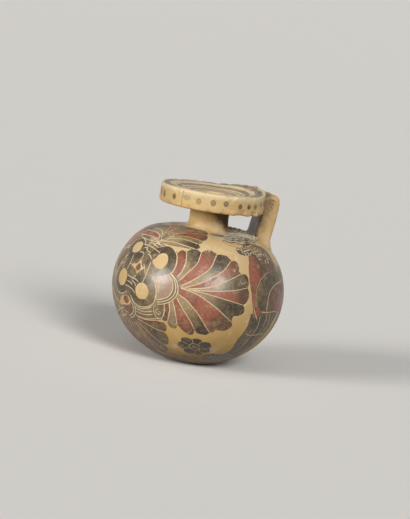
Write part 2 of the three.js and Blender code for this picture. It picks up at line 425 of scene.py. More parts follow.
# Joins rings of points into a skin. A ring of one point closes a pole.
def ringFaces(rings, closed=False):
    starts = np.cumsum([0] + [len(r) for r in rings])
    faces = []
    pairs = list(zip(range(len(rings) - 1), range(1, len(rings))))
    if closed:
        pairs.append((len(rings) - 1, 0))
    for low, high in pairs:
        count = max(len(rings[low]), len(rings[high]))
        for i in range(count):
            j = (i + 1) % count
            if len(rings[low]) == 1:
                faces.append((starts[low], starts[high] + j, starts[high] + i))
            elif len(rings[high]) == 1:
                faces.append((starts[low] + i, starts[low] + j, starts[high]))
            else:
                faces.append((starts[low] + i, starts[low] + j, starts[high] + j, starts[high] + i))
    return [tuple(int(v) for v in f) for f in faces]


def circlesOf(profile, steps):
    turn = np.linspace(0, 2 * math.pi, steps, endpoint=False)
    return [around(radius, turn if radius > 1e-6 else turn[:1], height)
            for radius, height in profile]


def makeBody():
    shape = bodyShape
    angles = np.linspace(0, 2 * math.pi, shape["around"], endpoint=False)
    rings = [np.array([[0, 0, shape["dimpleDepth"]]])]
    rise = -math.pi / 2 + shape["rise"]
    while math.cos(rise) * float(bodyReach(np.array(rise))) > shape["seatRadius"] or rise < 0:
        rings.append(bodyPoints(angles, np.full(shape["around"], rise)))
        rise += shape["rise"]
    top = float(rings[-1][:, 2].mean())
    hole = [(r, top) for r in shape["seatSteps"]]
    edge = top - shape["holeEdge"]
    hole += [(shape["holeRadius"], edge - shape["holeStep"] * k) for k in range(shape["holeRings"])]
    across = bodyRadius - shape["wall"]
    inside = []
    for k in range(shape["innerSteps"] + 1):
        turn = math.pi / 2 - math.pi * k / shape["innerSteps"]
        power = 2 / (shape["innerPower"] if turn > 0 else 2)
        upright = top - shape["wall"] - bodyCentre if turn > 0 else bodyCentre - shape["floor"]
        radius = across * max(math.cos(turn), 0) ** power
        height = bodyCentre + math.copysign(upright * abs(math.sin(turn)) ** power, turn)
        if radius > shape["holeRadius"] + shape["holeClear"] or turn < 0:
            inside.append((radius if k < shape["innerSteps"] else 0.0, height))
    rings += circlesOf(hole + inside, shape["around"])
    piece = makeMesh("body_skin", np.vstack(rings), ringFaces(rings), bodyClay)
    seat(piece, "painted_clay", "body")
    return piece


bodySkin = makeBody()
print("body made")


def shoulderHeightAt(radius):
    rises = np.radians(np.arange(20, 89, 0.5))
    reach = bodyReach(rises)
    return float(np.interp(-radius, -reach * np.cos(rises), bodyCentre + reach * np.sin(rises)))


def leaned(points):
    turn = np.array(Matrix.Rotation(plateLean, 3, "X"))
    pivot = np.array([0, 0, plateSeat])
    return (points - pivot) @ turn.T + pivot


# A closed outline (radius, height) turned about Z, with hand-made unevenness
def turnedRing(outline, steps, waves):
    rings = circlesOf(outline, steps)
    points = np.vstack(rings)
    out = points.copy()
    out[:, 2] = 0
    length = np.maximum(np.linalg.norm(out, axis=1), 1e-6)[:, None]
    points = points + out / length * unevenness(points, waves)[:, None]
    return points, ringFaces(rings, closed=True)


neckShape = {
    "bore": 4.5,
    "radius": 8.1,
    "top": 66.9,
    "foot": [  # radius, height over the shoulder
        (10.8, -0.3), (10.1, 0.02), (9.2, 0.35), (8.55, 0.95),
    ],
    "wall": [  # how far outside the radius, height
        (0.12, 58.6), (0, 60.4), (0, 62.6), (0.15, 64.4), (0.6, 65.7),
    ],
    "flare": 1.9,
    "lip": (1, 0.6),  # how wide and how deep the bore opens at the top
    "inside": [  # how far outside the bore, height
        (0, 62), (0, 57.5), (0.1, 55.6), (1.6, 54.8), (5.5, 54.6),
    ],
    "waves": [(12, 0.05, 11)],
    "steps": 192,
}


def makeNeck():
    shape = neckShape
    bore, radius, top = shape["bore"], shape["radius"], shape["top"]
    foot = [(r, shoulderHeightAt(r) + up) for r, up in shape["foot"]]
    wall = [(radius + out, height) for out, height in shape["wall"]]
    outside = foot + wall + [(radius + shape["flare"], top)]
    run = [tuple(p) for p in smoothRun(outside, 0.4)]
    lipOut, lipDown = shape["lip"]
    inner = [(bore + lipOut, top), (bore, top - lipDown)]
    inner += [(bore + out, height) for out, height in shape["inside"]]
    points, faces = turnedRing(run + inner, shape["steps"], shape["waves"])
    piece = makeMesh("neck_skin", points, faces, neckClay)
    seat(piece, "plain_clay", "neck", "neck_fillet")


makeNeck()
print("neck made")

plateShape = {
    "bore": 4.5,
    "bottom": 64.9,
    "top": 72.6,
    "dish": 1.75,
    "trim": 0.12,
    "underside": [  # radius, height over the bottom
        (9.4, 1.5), (13, 0.8), (17, 0.2), (19.8, 0.02),
    ],
    "lowerEdge": [  # how far inside the rim, height over the bottom
        (0.75, 0.05), (0.2, 0.4), (0.02, 1.2), (0, 3),
    ],
    "upperEdge": [  # how far inside the rim, depth under the top
        (0, 2.4), (0.03, 0.8), (0.25, 0.22), (0.8, 0.02), (2.4, 0), (4.2, 0.08),
    ],
    "slope": (14, 0.72),  # radius, depth under the top
    "dishFloor": [  # radius, depth under the middle of the dish
        (9.3, -0.14), (7, 0), (5.6, 0.05), (4.95, 0.4),
    ],
    "throatTop": 1.2,
    "throat": [  # how far outside the bore, height
        (0, 69), (0, 67.5), (0.1, 66.5), (2.5, 66.4),
    ],
    "lift": 2.2,  # the rim is pushed up beside the handle, further round on the front side
    "liftInner": 12,
    "liftAngle": math.radians(108),
    "liftFront": math.radians(75),
    "liftBack": math.radians(60),
    "liftPower": 1.4,
    "liftWaver": (4.5, 0.16, 44),
    "ridgeApart": 1.7,
    "ridgeHeight": 0.035,
    "ridgeInner": 6,
    "ridgeInset": 1,
    "ridgeDepth": 1.3,
    "waves": [(12, 0.07, 21)],
    "steps": 320,
    "dentEdge": (1.6, 0.22),  # how ragged: wavelength, amount
    "dentSeed": 400,
    "dentPower": 0.6,
    "dents": [  # angle in degrees, height, size, depth; a negative depth is a lump
        (18, 65.0, 2.4, 0.55), (28.5, 64.9, 1.7, -0.35), (36, 65.1, 1.6, 0.75),
        (43, 64.9, 1.7, -0.45), (51, 65.0, 1.6, 0.5), (8, 64.9, 2.2, -0.3), (-4, 65.0, 1.5, 0.3),
        (-42, 64.9, 1.4, 0.3), (-70, 65.0, 1.6, 0.35), (-118, 72.6, 1.7, 0.4),
        (-150, 72.6, 2.3, 0.5), (178, 72.6, 1.5, 0.45), (158, 72.6, 2.2, 0.6),
        (143, 73.0, 1.6, 0.5), (-88, 72.6, 1.4, 0.3), (-20, 64.9, 1.3, 0.3),
        (-60, 72.6, 1.8, 0.35), (4, 72.6, 2.0, 0.35), (30, 72.6, 2.4, 0.3),
    ],
}


def plateOutline():
    shape = plateShape
    edge, low, high = plateRadius - shape["trim"], shape["bottom"], shape["top"]
    bore, dish = shape["bore"], high - shape["dish"]
    outer = [(radius, low + up) for radius, up in shape["underside"]]
    outer += [(edge - inward, low + up) for inward, up in shape["lowerEdge"]]
    outer += [(edge - inward, high - down) for inward, down in shape["upperEdge"]]
    outer.append((shape["slope"][0], high - shape["slope"][1]))
    outer += [(radius, dish - down) for radius, down in shape["dishFloor"]]
    outer.append((bore, dish - shape["throatTop"]))
    run = [tuple(p) for p in smoothRun(outer, 0.32)]
    return run + [(bore + out, height) for out, height in shape["throat"]]


def makePlate():
    shape = plateShape
    points, faces = turnedRing(plateOutline(), shape["steps"], shape["waves"])
    radius = np.hypot(points[:, 0], points[:, 1])
    ridges = np.sin(radius * 2 * math.pi / shape["ridgeApart"]) * shape["ridgeHeight"]
    inDish = (radius > shape["ridgeInner"]) & (radius < plateRadius - shape["ridgeInset"])
    onTop = points[:, 2] > shape["top"] - shape["ridgeDepth"]
    points[:, 2] += np.where(onTop & inDish, ridges, 0)
    for degrees, height, size, depth in shape["dents"]:
        turn = math.radians(degrees)
        spot = np.array([plateRadius * math.cos(turn), plateRadius * math.sin(turn), height])
        away = np.linalg.norm(points - spot, axis=1)
        seed = int(degrees) + shape["dentSeed"]
        ragged = away * (1 + waver(points, *shape["dentEdge"], seed))
        bite = np.clip(1 - (ragged / size) ** 2, 0, 1) ** shape["dentPower"] * depth
        inward = np.array([-spot[0], -spot[1], 1.5 * (shape["top"] + shape["bottom"]) - 3 * height])
        points += bite[:, None] * inward / np.linalg.norm(inward)
    turn = np.arctan2(points[:, 1], points[:, 0]) - shape["liftAngle"]
    near = 1 - eased(np.where(turn < 0, -turn / shape["liftFront"], turn / shape["liftBack"]))
    inner = shape["liftInner"]
    outward = np.clip((radius - inner) / (plateRadius - inner), 0, 1) ** shape["liftPower"]
    high = eased((points[:, 2] - shape["bottom"]) / (shape["top"] - shape["bottom"]))
    uneven = 1 + waver(points, *shape["liftWaver"])
    points[:, 2] += shape["lift"] * near * outward * high * uneven
    piece = makeMesh("mouth_plate_skin", leaned(points), faces, mouthClay)
    seat(piece, "dotted_clay", "mouth_plate")
    return piece


plateSkin = makePlate()
print("mouth plate made")

# The strap runs between an outer and an inner line in (y, z) and keeps a rounded cross section
strapShape = {
    "outer": [(18.6, 72.0), (21.4, 72.9), (24.0, 73.45), (26.3, 73.1), (27.65, 71.6), (27.95, 69.0),
              (27.8, 65.2), (27.3, 61.2), (26.7, 57.2), (26.2, 54.6), (26.4, 52.4), (27.1, 50.0)],
    "inner": [(18.4, 66.4), (19.0, 66.2), (19.8, 65.9), (20.3, 65.3), (20.35, 64.4), (20.25, 63.4),
              (19.95, 61.6), (19.65, 59.6), (19.45, 57.7), (19.2, 56.3), (18.3, 55.2),
              (16.2, 54.6)],
    "width": [13.2, 13.5, 13.7, 13.8, 13.8, 13.7, 13.5, 13.5, 13.8, 14.8, 16.8, 19.6],
    "roundness": 6,
    "around": 72,
    "middle": (0, 23, 62),
    "waves": [(9, 0.10, 31), (3, 0.02, 32)],
}


def makeStrap():
    shape = strapShape
    outer = np.array(shape["outer"])
    inner = np.array(shape["inner"])
    width = np.array(shape["width"])[:, None]
    run = smoothRun(np.hstack([outer, inner, width]), 0.55)
    turn = np.linspace(0, 2 * math.pi, shape["around"], endpoint=False)
    power = 2 / shape["roundness"]
    across = np.sign(np.cos(turn)) * np.abs(np.cos(turn)) ** power
    through = np.sign(np.sin(turn)) * np.abs(np.sin(turn)) ** power
    rings = []
    for oy, oz, iy, iz, wide in run:
        share = 0.5 + 0.5 * through
        rings.append(np.stack([across * wide / 2, iy + (oy - iy) * share,
                               iz + (oz - iz) * share], -1))
    rings = [rings[0].mean(0)[None]] + rings + [rings[-1].mean(0)[None]]
    points = np.vstack(rings)
    away = points - np.array(shape["middle"])
    away /= np.linalg.norm(away, axis=1)[:, None]
    points = points + away * unevenness(points, shape["waves"])[:, None]
    piece = makeMesh("handle_skin", points, ringFaces(rings), handleClay)
    seat(piece, "plain_clay", "handle_strap", "handle_foot_fillet")
    return piece


handleSkin = makeStrap()
print("handle made")

# Paint. Each motif is drawn flat, in millimetres, on a sheet laid on the body round a middle point.
sheets = {
    "front": {"angle": -64, "rise": 9, "flip": False},
    "right": {"angle": 45, "rise": 0, "flip": False},
    "left": {"angle": -169, "rise": 0, "flip": True},
    "back": {"angle": 118, "rise": 0, "flip": False},
}
sheetRadius = 34
paintLook = {
    "lift": 0.034,
    "lineLift": 0.006,
    "sink": 0.03,
    "scratchWidth": 0.35,
    "edgeWander": 0.11,
    "wanderLength": 3.2,
    "wanderSeeds": (51, 52),
    "fill": 1.3,
    "fillFrom": math.radians(-72),
    "fillSpan": math.radians(150),
    "fillRow": 0.87,
    "clearance": 0.42,
    "creaseAngle": math.radians(40),
    "lean": math.radians(-12),
    "middle": (0.0, 3.0),
}
patches = []
scratches = []


def sheetToBody(points, sheetName):
    sheet = sheets[sheetName]
    x, y = np.array(points, float).T
    if sheet["flip"]:
        x = -x
    angle, rise = math.radians(sheet["angle"]), math.radians(sheet["rise"])
    out = np.array([math.cos(rise) * math.cos(angle), math.cos(rise) * math.sin(angle),
                    math.sin(rise)])
    east = np.array([-math.sin(angle), math.cos(angle), 0])
    north = np.cross(out, east)
    far = np.hypot(x, y) / sheetRadius
    turn = np.arctan2(y, x)
    way = (np.cos(far)[:, None] * out + (np.sin(far) * np.cos(turn))[:, None] * east
           + (np.sin(far) * np.sin(turn))[:, None] * north)
    return np.arctan2(way[:, 1], way[:, 0]), np.arcsin(np.clip(way[:, 2], -1, 1))


# All outlines meet on one flat map of the body, which keeps angles true
mapRadius = 72


def toMap(angle, rise):
    far = mapRadius * np.tan((rise + math.pi / 2) / 2)
    return np.stack([far * np.cos(angle), far * np.sin(angle)], -1)


def fromMap(points):
    far = np.hypot(points[:, 0], points[:, 1])
    return np.arctan2(points[:, 1], points[:, 0]), 2 * np.arctan(far / mapRadius) - math.pi / 2


# The front flower is the same on both sides of a line that leans a little
def reflected(points):
    lean = paintLook["lean"]
    way = np.array([-math.sin(lean), math.cos(lean)])
    middle = np.array(paintLook["middle"])
    p = np.array(points, float) - middle
    along = (p @ way)[:, None] * way
    return 2 * along - p + middle


# thin is how far the slip has turned to its second colour, or (start, end, from point, to point)
def patch(colour, outline, sheet="front", thin=0.0):
    patches.append({"colour": colour, "outline": np.array(outline), "sheet": sheet, "thin": thin})


def scratch(line, sheet="front", width=None, twice=False):
    width = width or paintLook["scratchWidth"]
    scratches.append({"line": np.array(line), "sheet": sheet, "width": width})
    if twice:
        scratches.append({"line": reflected(line), "sheet": sheet, "width": width})


def scratchAll(lines, sheet="front", twice=False):
    for line in lines:
        scratch(smoothRun(line), sheet, twice=twice)


def ringAt(middle, radius, begin=0, end=360, squash=1.0):
    count = max(8, int(abs(end - begin) / 20))
    turns = np.radians(np.linspace(begin, end, count + 1))
    return np.stack([middle[0] + radius * np.cos(turns),
                     middle[1] + squash * radius * np.sin(turns)], -1)


def blob(points):
    return smoothRun(points, closed=True)


def disc(middle, radius, squash=1.0):
    return blob(ringAt(middle, radius, 0, 340, squash))  # the last 20 degrees close the circle


# Black petals dry to olive toward the root, and red ones let the black under them show at the tip
petalLook = {  # slip, how dry it starts and ends, and from where to where along the petal
    "black": ("black", 0.95, 0.02, 0.12, 0.84),
    "pale": ("black", 0.95, 0.5, 0.0, 1.0),
    "red": ("red", 0.0, 0.9, 0.6, 1.02),
    "dull": ("red", 0.45, 1.0, 0.0, 1.0),
}


# Petals lie between veins and end in a rounded tip. leftColours are those of the reflected half.
def fan(veins, tips, colours, leftColours=None, dry=0.95):
    smooth = [smoothRun(v) for v in veins]
    for i, tip in enumerate(tips):
        low, high = smooth[i], smooth[i + 1]
        end = smoothRun(np.vstack([low[-1], tip, high[-1]]))
        outline = np.vstack([low, end[1:-1], high[::-1]])
        root = (low[0] + high[0]) / 2
        way = end[len(end) // 2] - root
        for names, left in ((colours, False), (leftColours or colours, True)):
            slip, start, last, begin, stop = petalLook[names[i]]
            if names[i] == "black":
                start = dry
            ends = [root + way * begin, root + way * stop]
            if left:
                patch(slip, reflected(outline), thin=(start, last, *reflected(ends)))
            else:
                patch(slip, outline, thin=(start, last, *ends))
    for vein in smooth:
        scratch(vein, twice=True)


groundShape = {
    "dry": 0.42,
    "outline": [
        (20.8, 0.4), (20.2, 2.6), (18.4, 4.6), (17.4, 6.6), (15.8, 9.2), (13.6, 13.0), (9.6, 14.8),
        (6.6, 15.2), (5.6, 17.8), (5.4, 21.2), (3.6, 22.6), (0.6, 21.8), (-1.0, 18.4), (-3.4, 16.2),
        (-7.8, 17.0), (-12.2, 15.2), (-14.4, 11.6), (-15.6, 9.4), (-17.6, 6.2), (-19.0, 2.8),
        (-20.2, 0.0), (-20.4, -3.0), (-19.6, -6.4), (-17.4, -9.4), (-14.6, -11.4), (-11.4, -13.8),
        (-8.4, -17.2), (-6.2, -19.6), (-2.6, -20.8), (0.6, -20.2), (2.4, -17.4), (8.0, -16.8),
        (12.8, -15.9), (14.6, -14.8), (15.6, -12.0), (16.6, -9.0), (18.8, -6.9), (20.4, -4.2),
    ],
}


def drawGround():
    outline, dry = groundShape["outline"], groundShape["dry"]
    patch("black", reflected(blob(outline[:6] + outline[-6:])), thin=dry)
    patch("black", blob(outline), thin=dry)


ringShapes = {
    "discRadius": 6.2,
    "discDry": 0.08,
    "eyes": [(0, 3.0, 0.9), (2, 3.35, 0.95), (3, 3.35, 1.02)],  # which disc, radius, how squashed
    "fields": [  # how dry and outline
        (0.4, [(-5.4, -9.8), (-3.0, -9.6), (-2.4, -11.6), (-4.0, -12.6), (-5.8, -11.6)]),
        (0.6, [(-4.6, -14.0), (-1.8, -13.0), (-0.2, -14.4), (-2.0, -16.2), (-5.2, -16.0)]),
    ],
    "discs": [(-6.9, 10.3), (9.0, 7.8), (4.6, -5.8), (-8.5, -2.9)],
    "snail": [
        (5.2, 6.6), (6.2, 8.4), (7.0, 10.2), (8.7, 11.1), (10.7, 10.4), (12.0, 8.2), (11.7, 5.8),
        (10.3, 4.4), (8.4, 4.5), (6.6, 5.3),
    ],
    "diamond": [
        (-0.4, 5.9), (0.8, 4.1), (3.0, 2.8), (1.2, 1.5), (0.0, 0.0), (-1.5, 1.5), (-4.7, 2.9),
        (-1.7, 4.1),
    ],
    "heart": [(-0.3, 4.2), (1.1, 2.7), (-0.2, 1.2), (-1.8, 2.7)],
    "gore": [
        (-8.6, -11.2), (-5.6, -9.6), (-2.6, -9.4), (-1.0, -11.0), (-2.0, -12.6), (-5.4, -13.4),
        (-9.6, -14.2),
    ],
    "arcs": [
        [
            (5.0, 12.9), (6.4, 14.2), (8.6, 14.8), (11.6, 14.0), (14.3, 11.6), (15.6, 8.2),
            (15.6, 5.2), (14.8, 3.6),
        ],
        [
            (11.3, -5.6), (10.8, -9.0), (8.2, -11.2), (4.2, -12.0), (0.8, -10.8), (-1.2, -8.4),
        ],
        [
            (-3.8, -7.5), (-6.9, -9.2), (-10.5, -9.1), (-13.7, -6.9), (-15.0, -3.4), (-14.6, 0.4),
            (-12.6, 2.9),
        ],
        [
            (-2.4, 11.6), (-4.6, 13.7), (-8.0, 14.8), (-11.6, 13.3), (-13.3, 10.4), (-12.8, 7.2),
        ],
        [(-4.4, 12.0), (-2.4, 12.3), (0.6, 12.1), (4.0, 11.4), (6.8, 10.5)],
        [(-3.8, 8.5), (-1.8, 8.8), (-0.4, 8.2)],
        [(4.7, 6.2), (4.9, 3.2), (4.8, 0.2), (4.2, -2.6)],
        [(1.6, 4.6), (3.0, 3.2), (4.4, 0.8)],
        [(-5.3, -1.5), (-2.2, -1.9), (0.6, -2.2), (2.2, -2.9)],
        [(-5.5, -5.4), (-2.4, -5.7), (-0.2, -6.4), (1.2, -7.4)],
        [(-6.4, 7.0), (-6.1, 4.6), (-6.2, 2.4), (-6.6, 0.3)],
        [(-10.2, 7.4), (-10.6, 5.0), (-10.6, 2.6), (-10.2, 0.2)],
        [(-0.2, -0.4), (-0.8, -1.9)],
        [(-4.8, 2.9), (-6.1, 3.0)],
        [(-0.4, 6.0), (-0.4, 8.0)],
        [(-3.0, 10.4), (-1.2, 11.2), (0.2, 10.0), (2.6, 9.4)],
        [(1.2, 8.8), (3.0, 8.4), (4.6, 7.0)],
        [(-1.6, -3.0), (0.2, -3.6), (1.4, -4.8)],
        [(-4.6, -3.6), (-2.6, -3.9), (-0.6, -4.6)],
        [(-2.0, 13.2), (0.0, 13.8), (2.4, 13.2), (4.6, 12.6)],
        [(-3.2, 15.2), (-1.0, 16.0), (1.6, 15.2), (3.4, 14.0), (5.4, 14.4)],
        [(-0.8, 9.9), (-1.2, 13.4), (-0.4, 16.4), (1.0, 18.6)],
        [(1.6, 12.2), (2.0, 14.6), (3.4, 16.4), (5.4, 16.4)],
        [(12.6, 14.3), (13.6, 15.2), (15.2, 15.2), (16.9, 15.0)],
    ],
}


def drawRings():
    discs = ringShapes["discs"]
    for spot in discs:
        patch("black", disc(spot, ringShapes["discRadius"]), thin=ringShapes["discDry"])
    patch("bare", blob(ringShapes["snail"]))
    for which, radius, squash in ringShapes["eyes"]:
        patch("bare", disc(discs[which], radius, squash))
    patch("bare", smoothRun(ringShapes["diamond"], 0.5, closed=True))
    patch("brown", blob(ringShapes["heart"]))
    patch("bare", blob(ringShapes["gore"]))
    for dry, outline in ringShapes["fields"]:
        patch("red", blob(outline), thin=dry)
    scratchAll(ringShapes["arcs"])


palmette = {
    "colours": ["red", "black"] * 5 + ["red", "pale", "dull"],
    "heartDry": 0.6,
    "veins": [
        [(15.4, 3.7), (15.9, 7.4), (15.0, 10.4), (13.6, 12.6)],
        [(17.9, 3.4), (19.0, 6.4), (18.9, 10.2), (16.9, 15.0)],
        [(19.4, 2.4), (21.2, 6.2), (23.2, 11.4), (22.4, 17.0)],
        [(20.4, 0.4), (24.6, 4.6), (28.6, 11.2), (28.5, 18.9)],
        [(22.0, 0.0), (28.0, 4.4), (33.6, 12.0), (34.9, 18.9)],
        [(23.5, 0.1), (31.0, 3.2), (36.5, 8.2), (41.4, 14.6)],
        [(25.5, 0.3), (32.0, 1.7), (40.5, 5.0), (46.2, 8.8)],
        [(23.5, 0.0), (32.0, 0.1), (40.0, -0.3), (46.4, -0.8)],
        [(20.4, -0.3), (27.5, -1.3), (35.5, -4.9), (43.0, -10.8)],
        [(20.4, -3.0), (24.6, -5.2), (29.9, -10.6), (34.3, -18.0)],
        [(20.0, -4.7), (22.6, -8.2), (26.2, -13.2), (28.1, -17.2)],
        [(18.6, -6.1), (19.8, -9.6), (20.5, -13.0), (20.9, -16.2)],
        [(17.2, -7.2), (17.8, -10.2), (17.4, -13.0), (17.0, -15.2)],
        [(15.4, -8.4), (15.6, -11.0), (15.3, -13.0), (14.4, -14.8)],
    ],
    "tips": [
        [(14.4, 14.4), (15.6, 15.4)],
        [(18.0, 16.9), (20.2, 17.7)],
        [(23.2, 18.7), (25.2, 19.9), (27.4, 19.7)],
        [(30.0, 20.3), (32.2, 20.5), (34.1, 19.8)],
        [(35.8, 19.9), (37.8, 19.5), (39.2, 17.4), (39.9, 15.2)],
        [(43.2, 15.2), (44.9, 13.8), (46.2, 11.0)],
        [(47.6, 6.4), (48.0, 3.4), (47.2, 0.4)],
        [(47.4, -2.6), (47.3, -5.0), (45.6, -6.8), (43.2, -7.6)],
        [(43.4, -12.9), (42.0, -15.0), (39.4, -16.3), (36.9, -16.0), (35.7, -17.4)],
        [(33.0, -19.3), (30.8, -19.4), (29.0, -18.6)],
        [(27.4, -19.6), (25.6, -20.3), (23.6, -19.0), (21.8, -16.8)],
        [(20.6, -17.8), (18.8, -18.5), (17.4, -17.6)],
        [(16.4, -16.0), (15.0, -15.9)],
    ],
    "heart": [
        (13.0, 3.1), (15.6, 2.2), (17.2, 0.0), (17.4, -2.6), (16.2, -5.2), (13.8, -6.8),
        (11.9, -7.4), (11.3, -4.6), (10.4, -2.4), (10.2, 0.6),
    ],
    "scratches": [
        [
            (13.8, 3.5), (16.2, 1.9), (17.5, -0.6), (17.5, -3.2), (16.2, -5.4), (13.9, -6.8),
            (11.7, -7.5),
        ],
        [
            (15.3, 4.0), (18.0, 2.1), (19.7, -1.0), (19.7, -3.8), (18.1, -6.4), (15.4, -8.3),
            (12.2, -9.3),
        ],
        [
            (14.6, 4.2), (17.0, 2.4), (18.7, -0.8), (18.7, -3.6), (17.2, -5.9), (14.6, -7.6),
            (12.0, -8.4),
        ],
        [(10.1, -1.4), (11.2, -4.2), (11.5, -6.8), (10.6, -9.6)],
        [(10.9, 1.6), (11.9, -1.6), (12.2, -4.4)],
    ],
}


def drawPalmette():
    fan(palmette["veins"], palmette["tips"], palmette["colours"])
    patch("brown", blob(palmette["heart"]), thin=palmette["heartDry"])
    patch("red", reflected(blob(palmette["heart"])), thin=1.0)
    scratchAll(palmette["scratches"], twice=True)


topLotus = {
    "lean": math.radians(2),
    "middle": (2.9, 18.0),
    "colours": ["pale", "black", "pale", "red", "black", "red"],
    "leftColours": ["black", "red", "pale", "black", "red", "black"],
    "crown": [(5.4, 37.6), (0.4, 37.8)],
    "crownThin": (0.9, 0.1, (3.0, 24.0), (2.6, 37.0)),
    "veins": [
        [(4.6, 15.0), (8.5, 15.0), (12.6, 15.6), (16.4, 16.4)],
        [(4.8, 16.4), (9.0, 17.3), (14.0, 17.5), (19.4, 17.7)],
        [(5.0, 17.9), (9.0, 20.0), (14.0, 20.7), (18.9, 20.8)],
        [(5.2, 19.4), (9.0, 22.4), (13.0, 23.4), (18.8, 23.6)],
        [(5.0, 20.6), (8.6, 26.0), (12.4, 29.2), (16.9, 30.4)],
        [(4.8, 21.4), (7.2, 28.0), (9.6, 32.2), (13.6, 34.8)],
        [(4.2, 21.9), (5.2, 28.6), (6.4, 32.8), (8.4, 36.4)],
    ],
    "tips": [
        [(18.0, 17.2)],
        [(20.6, 19.2)],
        [(20.0, 22.2)],
        [(19.9, 25.4), (19.2, 28.4)],
        [(16.4, 32.6), (15.2, 34.0)],
        [(12.6, 36.0), (10.6, 37.0)],
    ],
    "scratches": [
        [(1.0, 13.6), (3.4, 15.0), (5.2, 17.6), (5.6, 20.6), (4.6, 22.2)],
        [(2.4, 15.6), (3.9, 17.4), (4.4, 19.6), (3.8, 21.4)],
        [(2.8, 20.2), (3.6, 21.8), (2.6, 23.4)],
    ],
}


def drawTopLotus():
    kept = paintLook["lean"], paintLook["middle"]
    paintLook["lean"], paintLook["middle"] = topLotus["lean"], topLotus["middle"]
    fan(topLotus["veins"], topLotus["tips"], topLotus["colours"], topLotus["leftColours"])
    low = smoothRun(topLotus["veins"][-1])
    high = reflected(low)
    end = smoothRun(np.vstack([low[-1], *topLotus["crown"], high[-1]]))
    patch("black", np.vstack([low, end[1:-1], high[::-1]]), thin=topLotus["crownThin"])
    scratchAll(topLotus["scratches"], twice=True)
    paintLook["lean"], paintLook["middle"] = kept


bottomLotus = {
    "colours": ["dull", "black", "dull", "black", "dull"],
    "dry": 0.3,
    "root": [(-6.8, -44.2), (-10.6, -44.0)],
    "rootDry": 0.75,
    "ribs": (0.3, 0.65),  # shares of the way across the middle petal
    "ribWidth": 0.4,
    "midribs": (3, 4),  # petals with a line down their middle
    "midribWidth": 0.38,
    "collarDry": 0.42,
    "curl": [
        (13.2, -11.2), (12.1, -11.3), (11.8, -12.4), (12.5, -13.4), (13.6, -13.2), (13.8, -12.2),
        (13.0, -12.0),
    ],
    "curlWidth": 0.28,
    "veins": [
        [(2.0, -16.9), (7.0, -17.2), (11.5, -16.4), (15.0, -16.3)],
        [(1.8, -17.9), (7.0, -19.4), (11.0, -20.6), (14.4, -21.2)],
        [(1.4, -18.8), (5.2, -22.6), (9.0, -26.4), (12.2, -29.0)],
        [(0.6, -19.4), (3.4, -25.0), (6.6, -30.2), (9.8, -34.6)],
        [(-0.8, -19.8), (1.0, -26.5), (3.0, -33.0), (4.2, -38.4)],
        [(-2.6, -20.2), (-3.2, -28.0), (-4.0, -35.0), (-4.8, -41.5)],
    ],
    "tips": [
        [(16.2, -17.8), (15.6, -20.2)],
        [(15.7, -22.8), (15.6, -25.8), (14.2, -28.4)],
        [(13.0, -31.0), (11.8, -33.8)],
        [(9.0, -37.2), (6.6, -39.0)],
        [(2.2, -42.2), (-1.6, -43.4)],
    ],
    "collar": [
        (0.8, -11.4), (4.0, -12.6), (8.0, -11.9), (10.6, -10.2), (12.4, -9.6), (15.2, -9.0),
        (15.4, -12.0), (14.6, -14.6), (12.4, -15.6), (8.0, -16.5), (4.0, -17.1), (0.6, -16.7),
        (1.9, -14.0),
    ],
    "collarLines": [
        [(2.0, -12.2), (4.6, -12.8), (8.2, -11.8), (10.0, -10.8)],
        [(2.0, -13.4), (6.0, -13.8), (10.4, -12.6)],
        [(1.8, -14.6), (6.0, -15.0), (10.6, -14.0)],
        [(1.2, -16.2), (6.0, -16.8), (10.0, -16.0), (13.4, -15.2)],
        [(-0.6, -9.8), (1.4, -12.0), (1.6, -14.4), (0.2, -17.0), (-2.8, -18.6)],
        [(-1.6, -10.4), (0.2, -12.4), (0.4, -14.2), (-0.9, -16.4), (-3.4, -17.6)],
        [
            (11.0, -9.8), (11.0, -12.8), (12.3, -14.9), (14.4, -14.6), (15.4, -12.2), (15.5, -9.2),
        ],
        [(14.2, -15.2), (15.6, -16.0), (17.2, -15.2)],
    ],
    "leftLines": [
        [(-6.2, -14.8), (-9.4, -15.8), (-13.0, -16.0)],
        [(-4.8, -17.2), (-8.4, -18.8), (-12.2, -20.0)],
        [(-3.0, -16.4), (-6.4, -15.8), (-9.6, -12.8)],
        [(-6.8, -13.4), (-9.8, -13.2), (-12.6, -11.6)],
    ],
}


def drawBottomLotus():
    lotus = bottomLotus
    fan(lotus["veins"], lotus["tips"], lotus["colours"], dry=lotus["dry"])
    last = smoothRun(lotus["veins"][-1])
    other = reflected(last)
    patch("red", np.vstack([last, lotus["root"], other[::-1]]), thin=lotus["rootDry"])
    for share in lotus["ribs"]:
        scratch(last * (1 - share) + other * share, width=lotus["ribWidth"])
    for i in lotus["midribs"]:
        low, high = (np.array([run[0], (run[1] + run[2]) / 2, run[-1]])
                     for run in np.array(lotus["veins"])[i:i + 2])
        scratch(smoothRun((low + high) / 2), width=lotus["midribWidth"], twice=True)
    patch("black", blob(lotus["collar"]), thin=lotus["collarDry"])
    scratchAll(lotus["collarLines"])
    scratchAll(lotus["leftLines"])
    scratch(smoothRun(lotus["curl"], 0.35), width=lotus["curlWidth"])


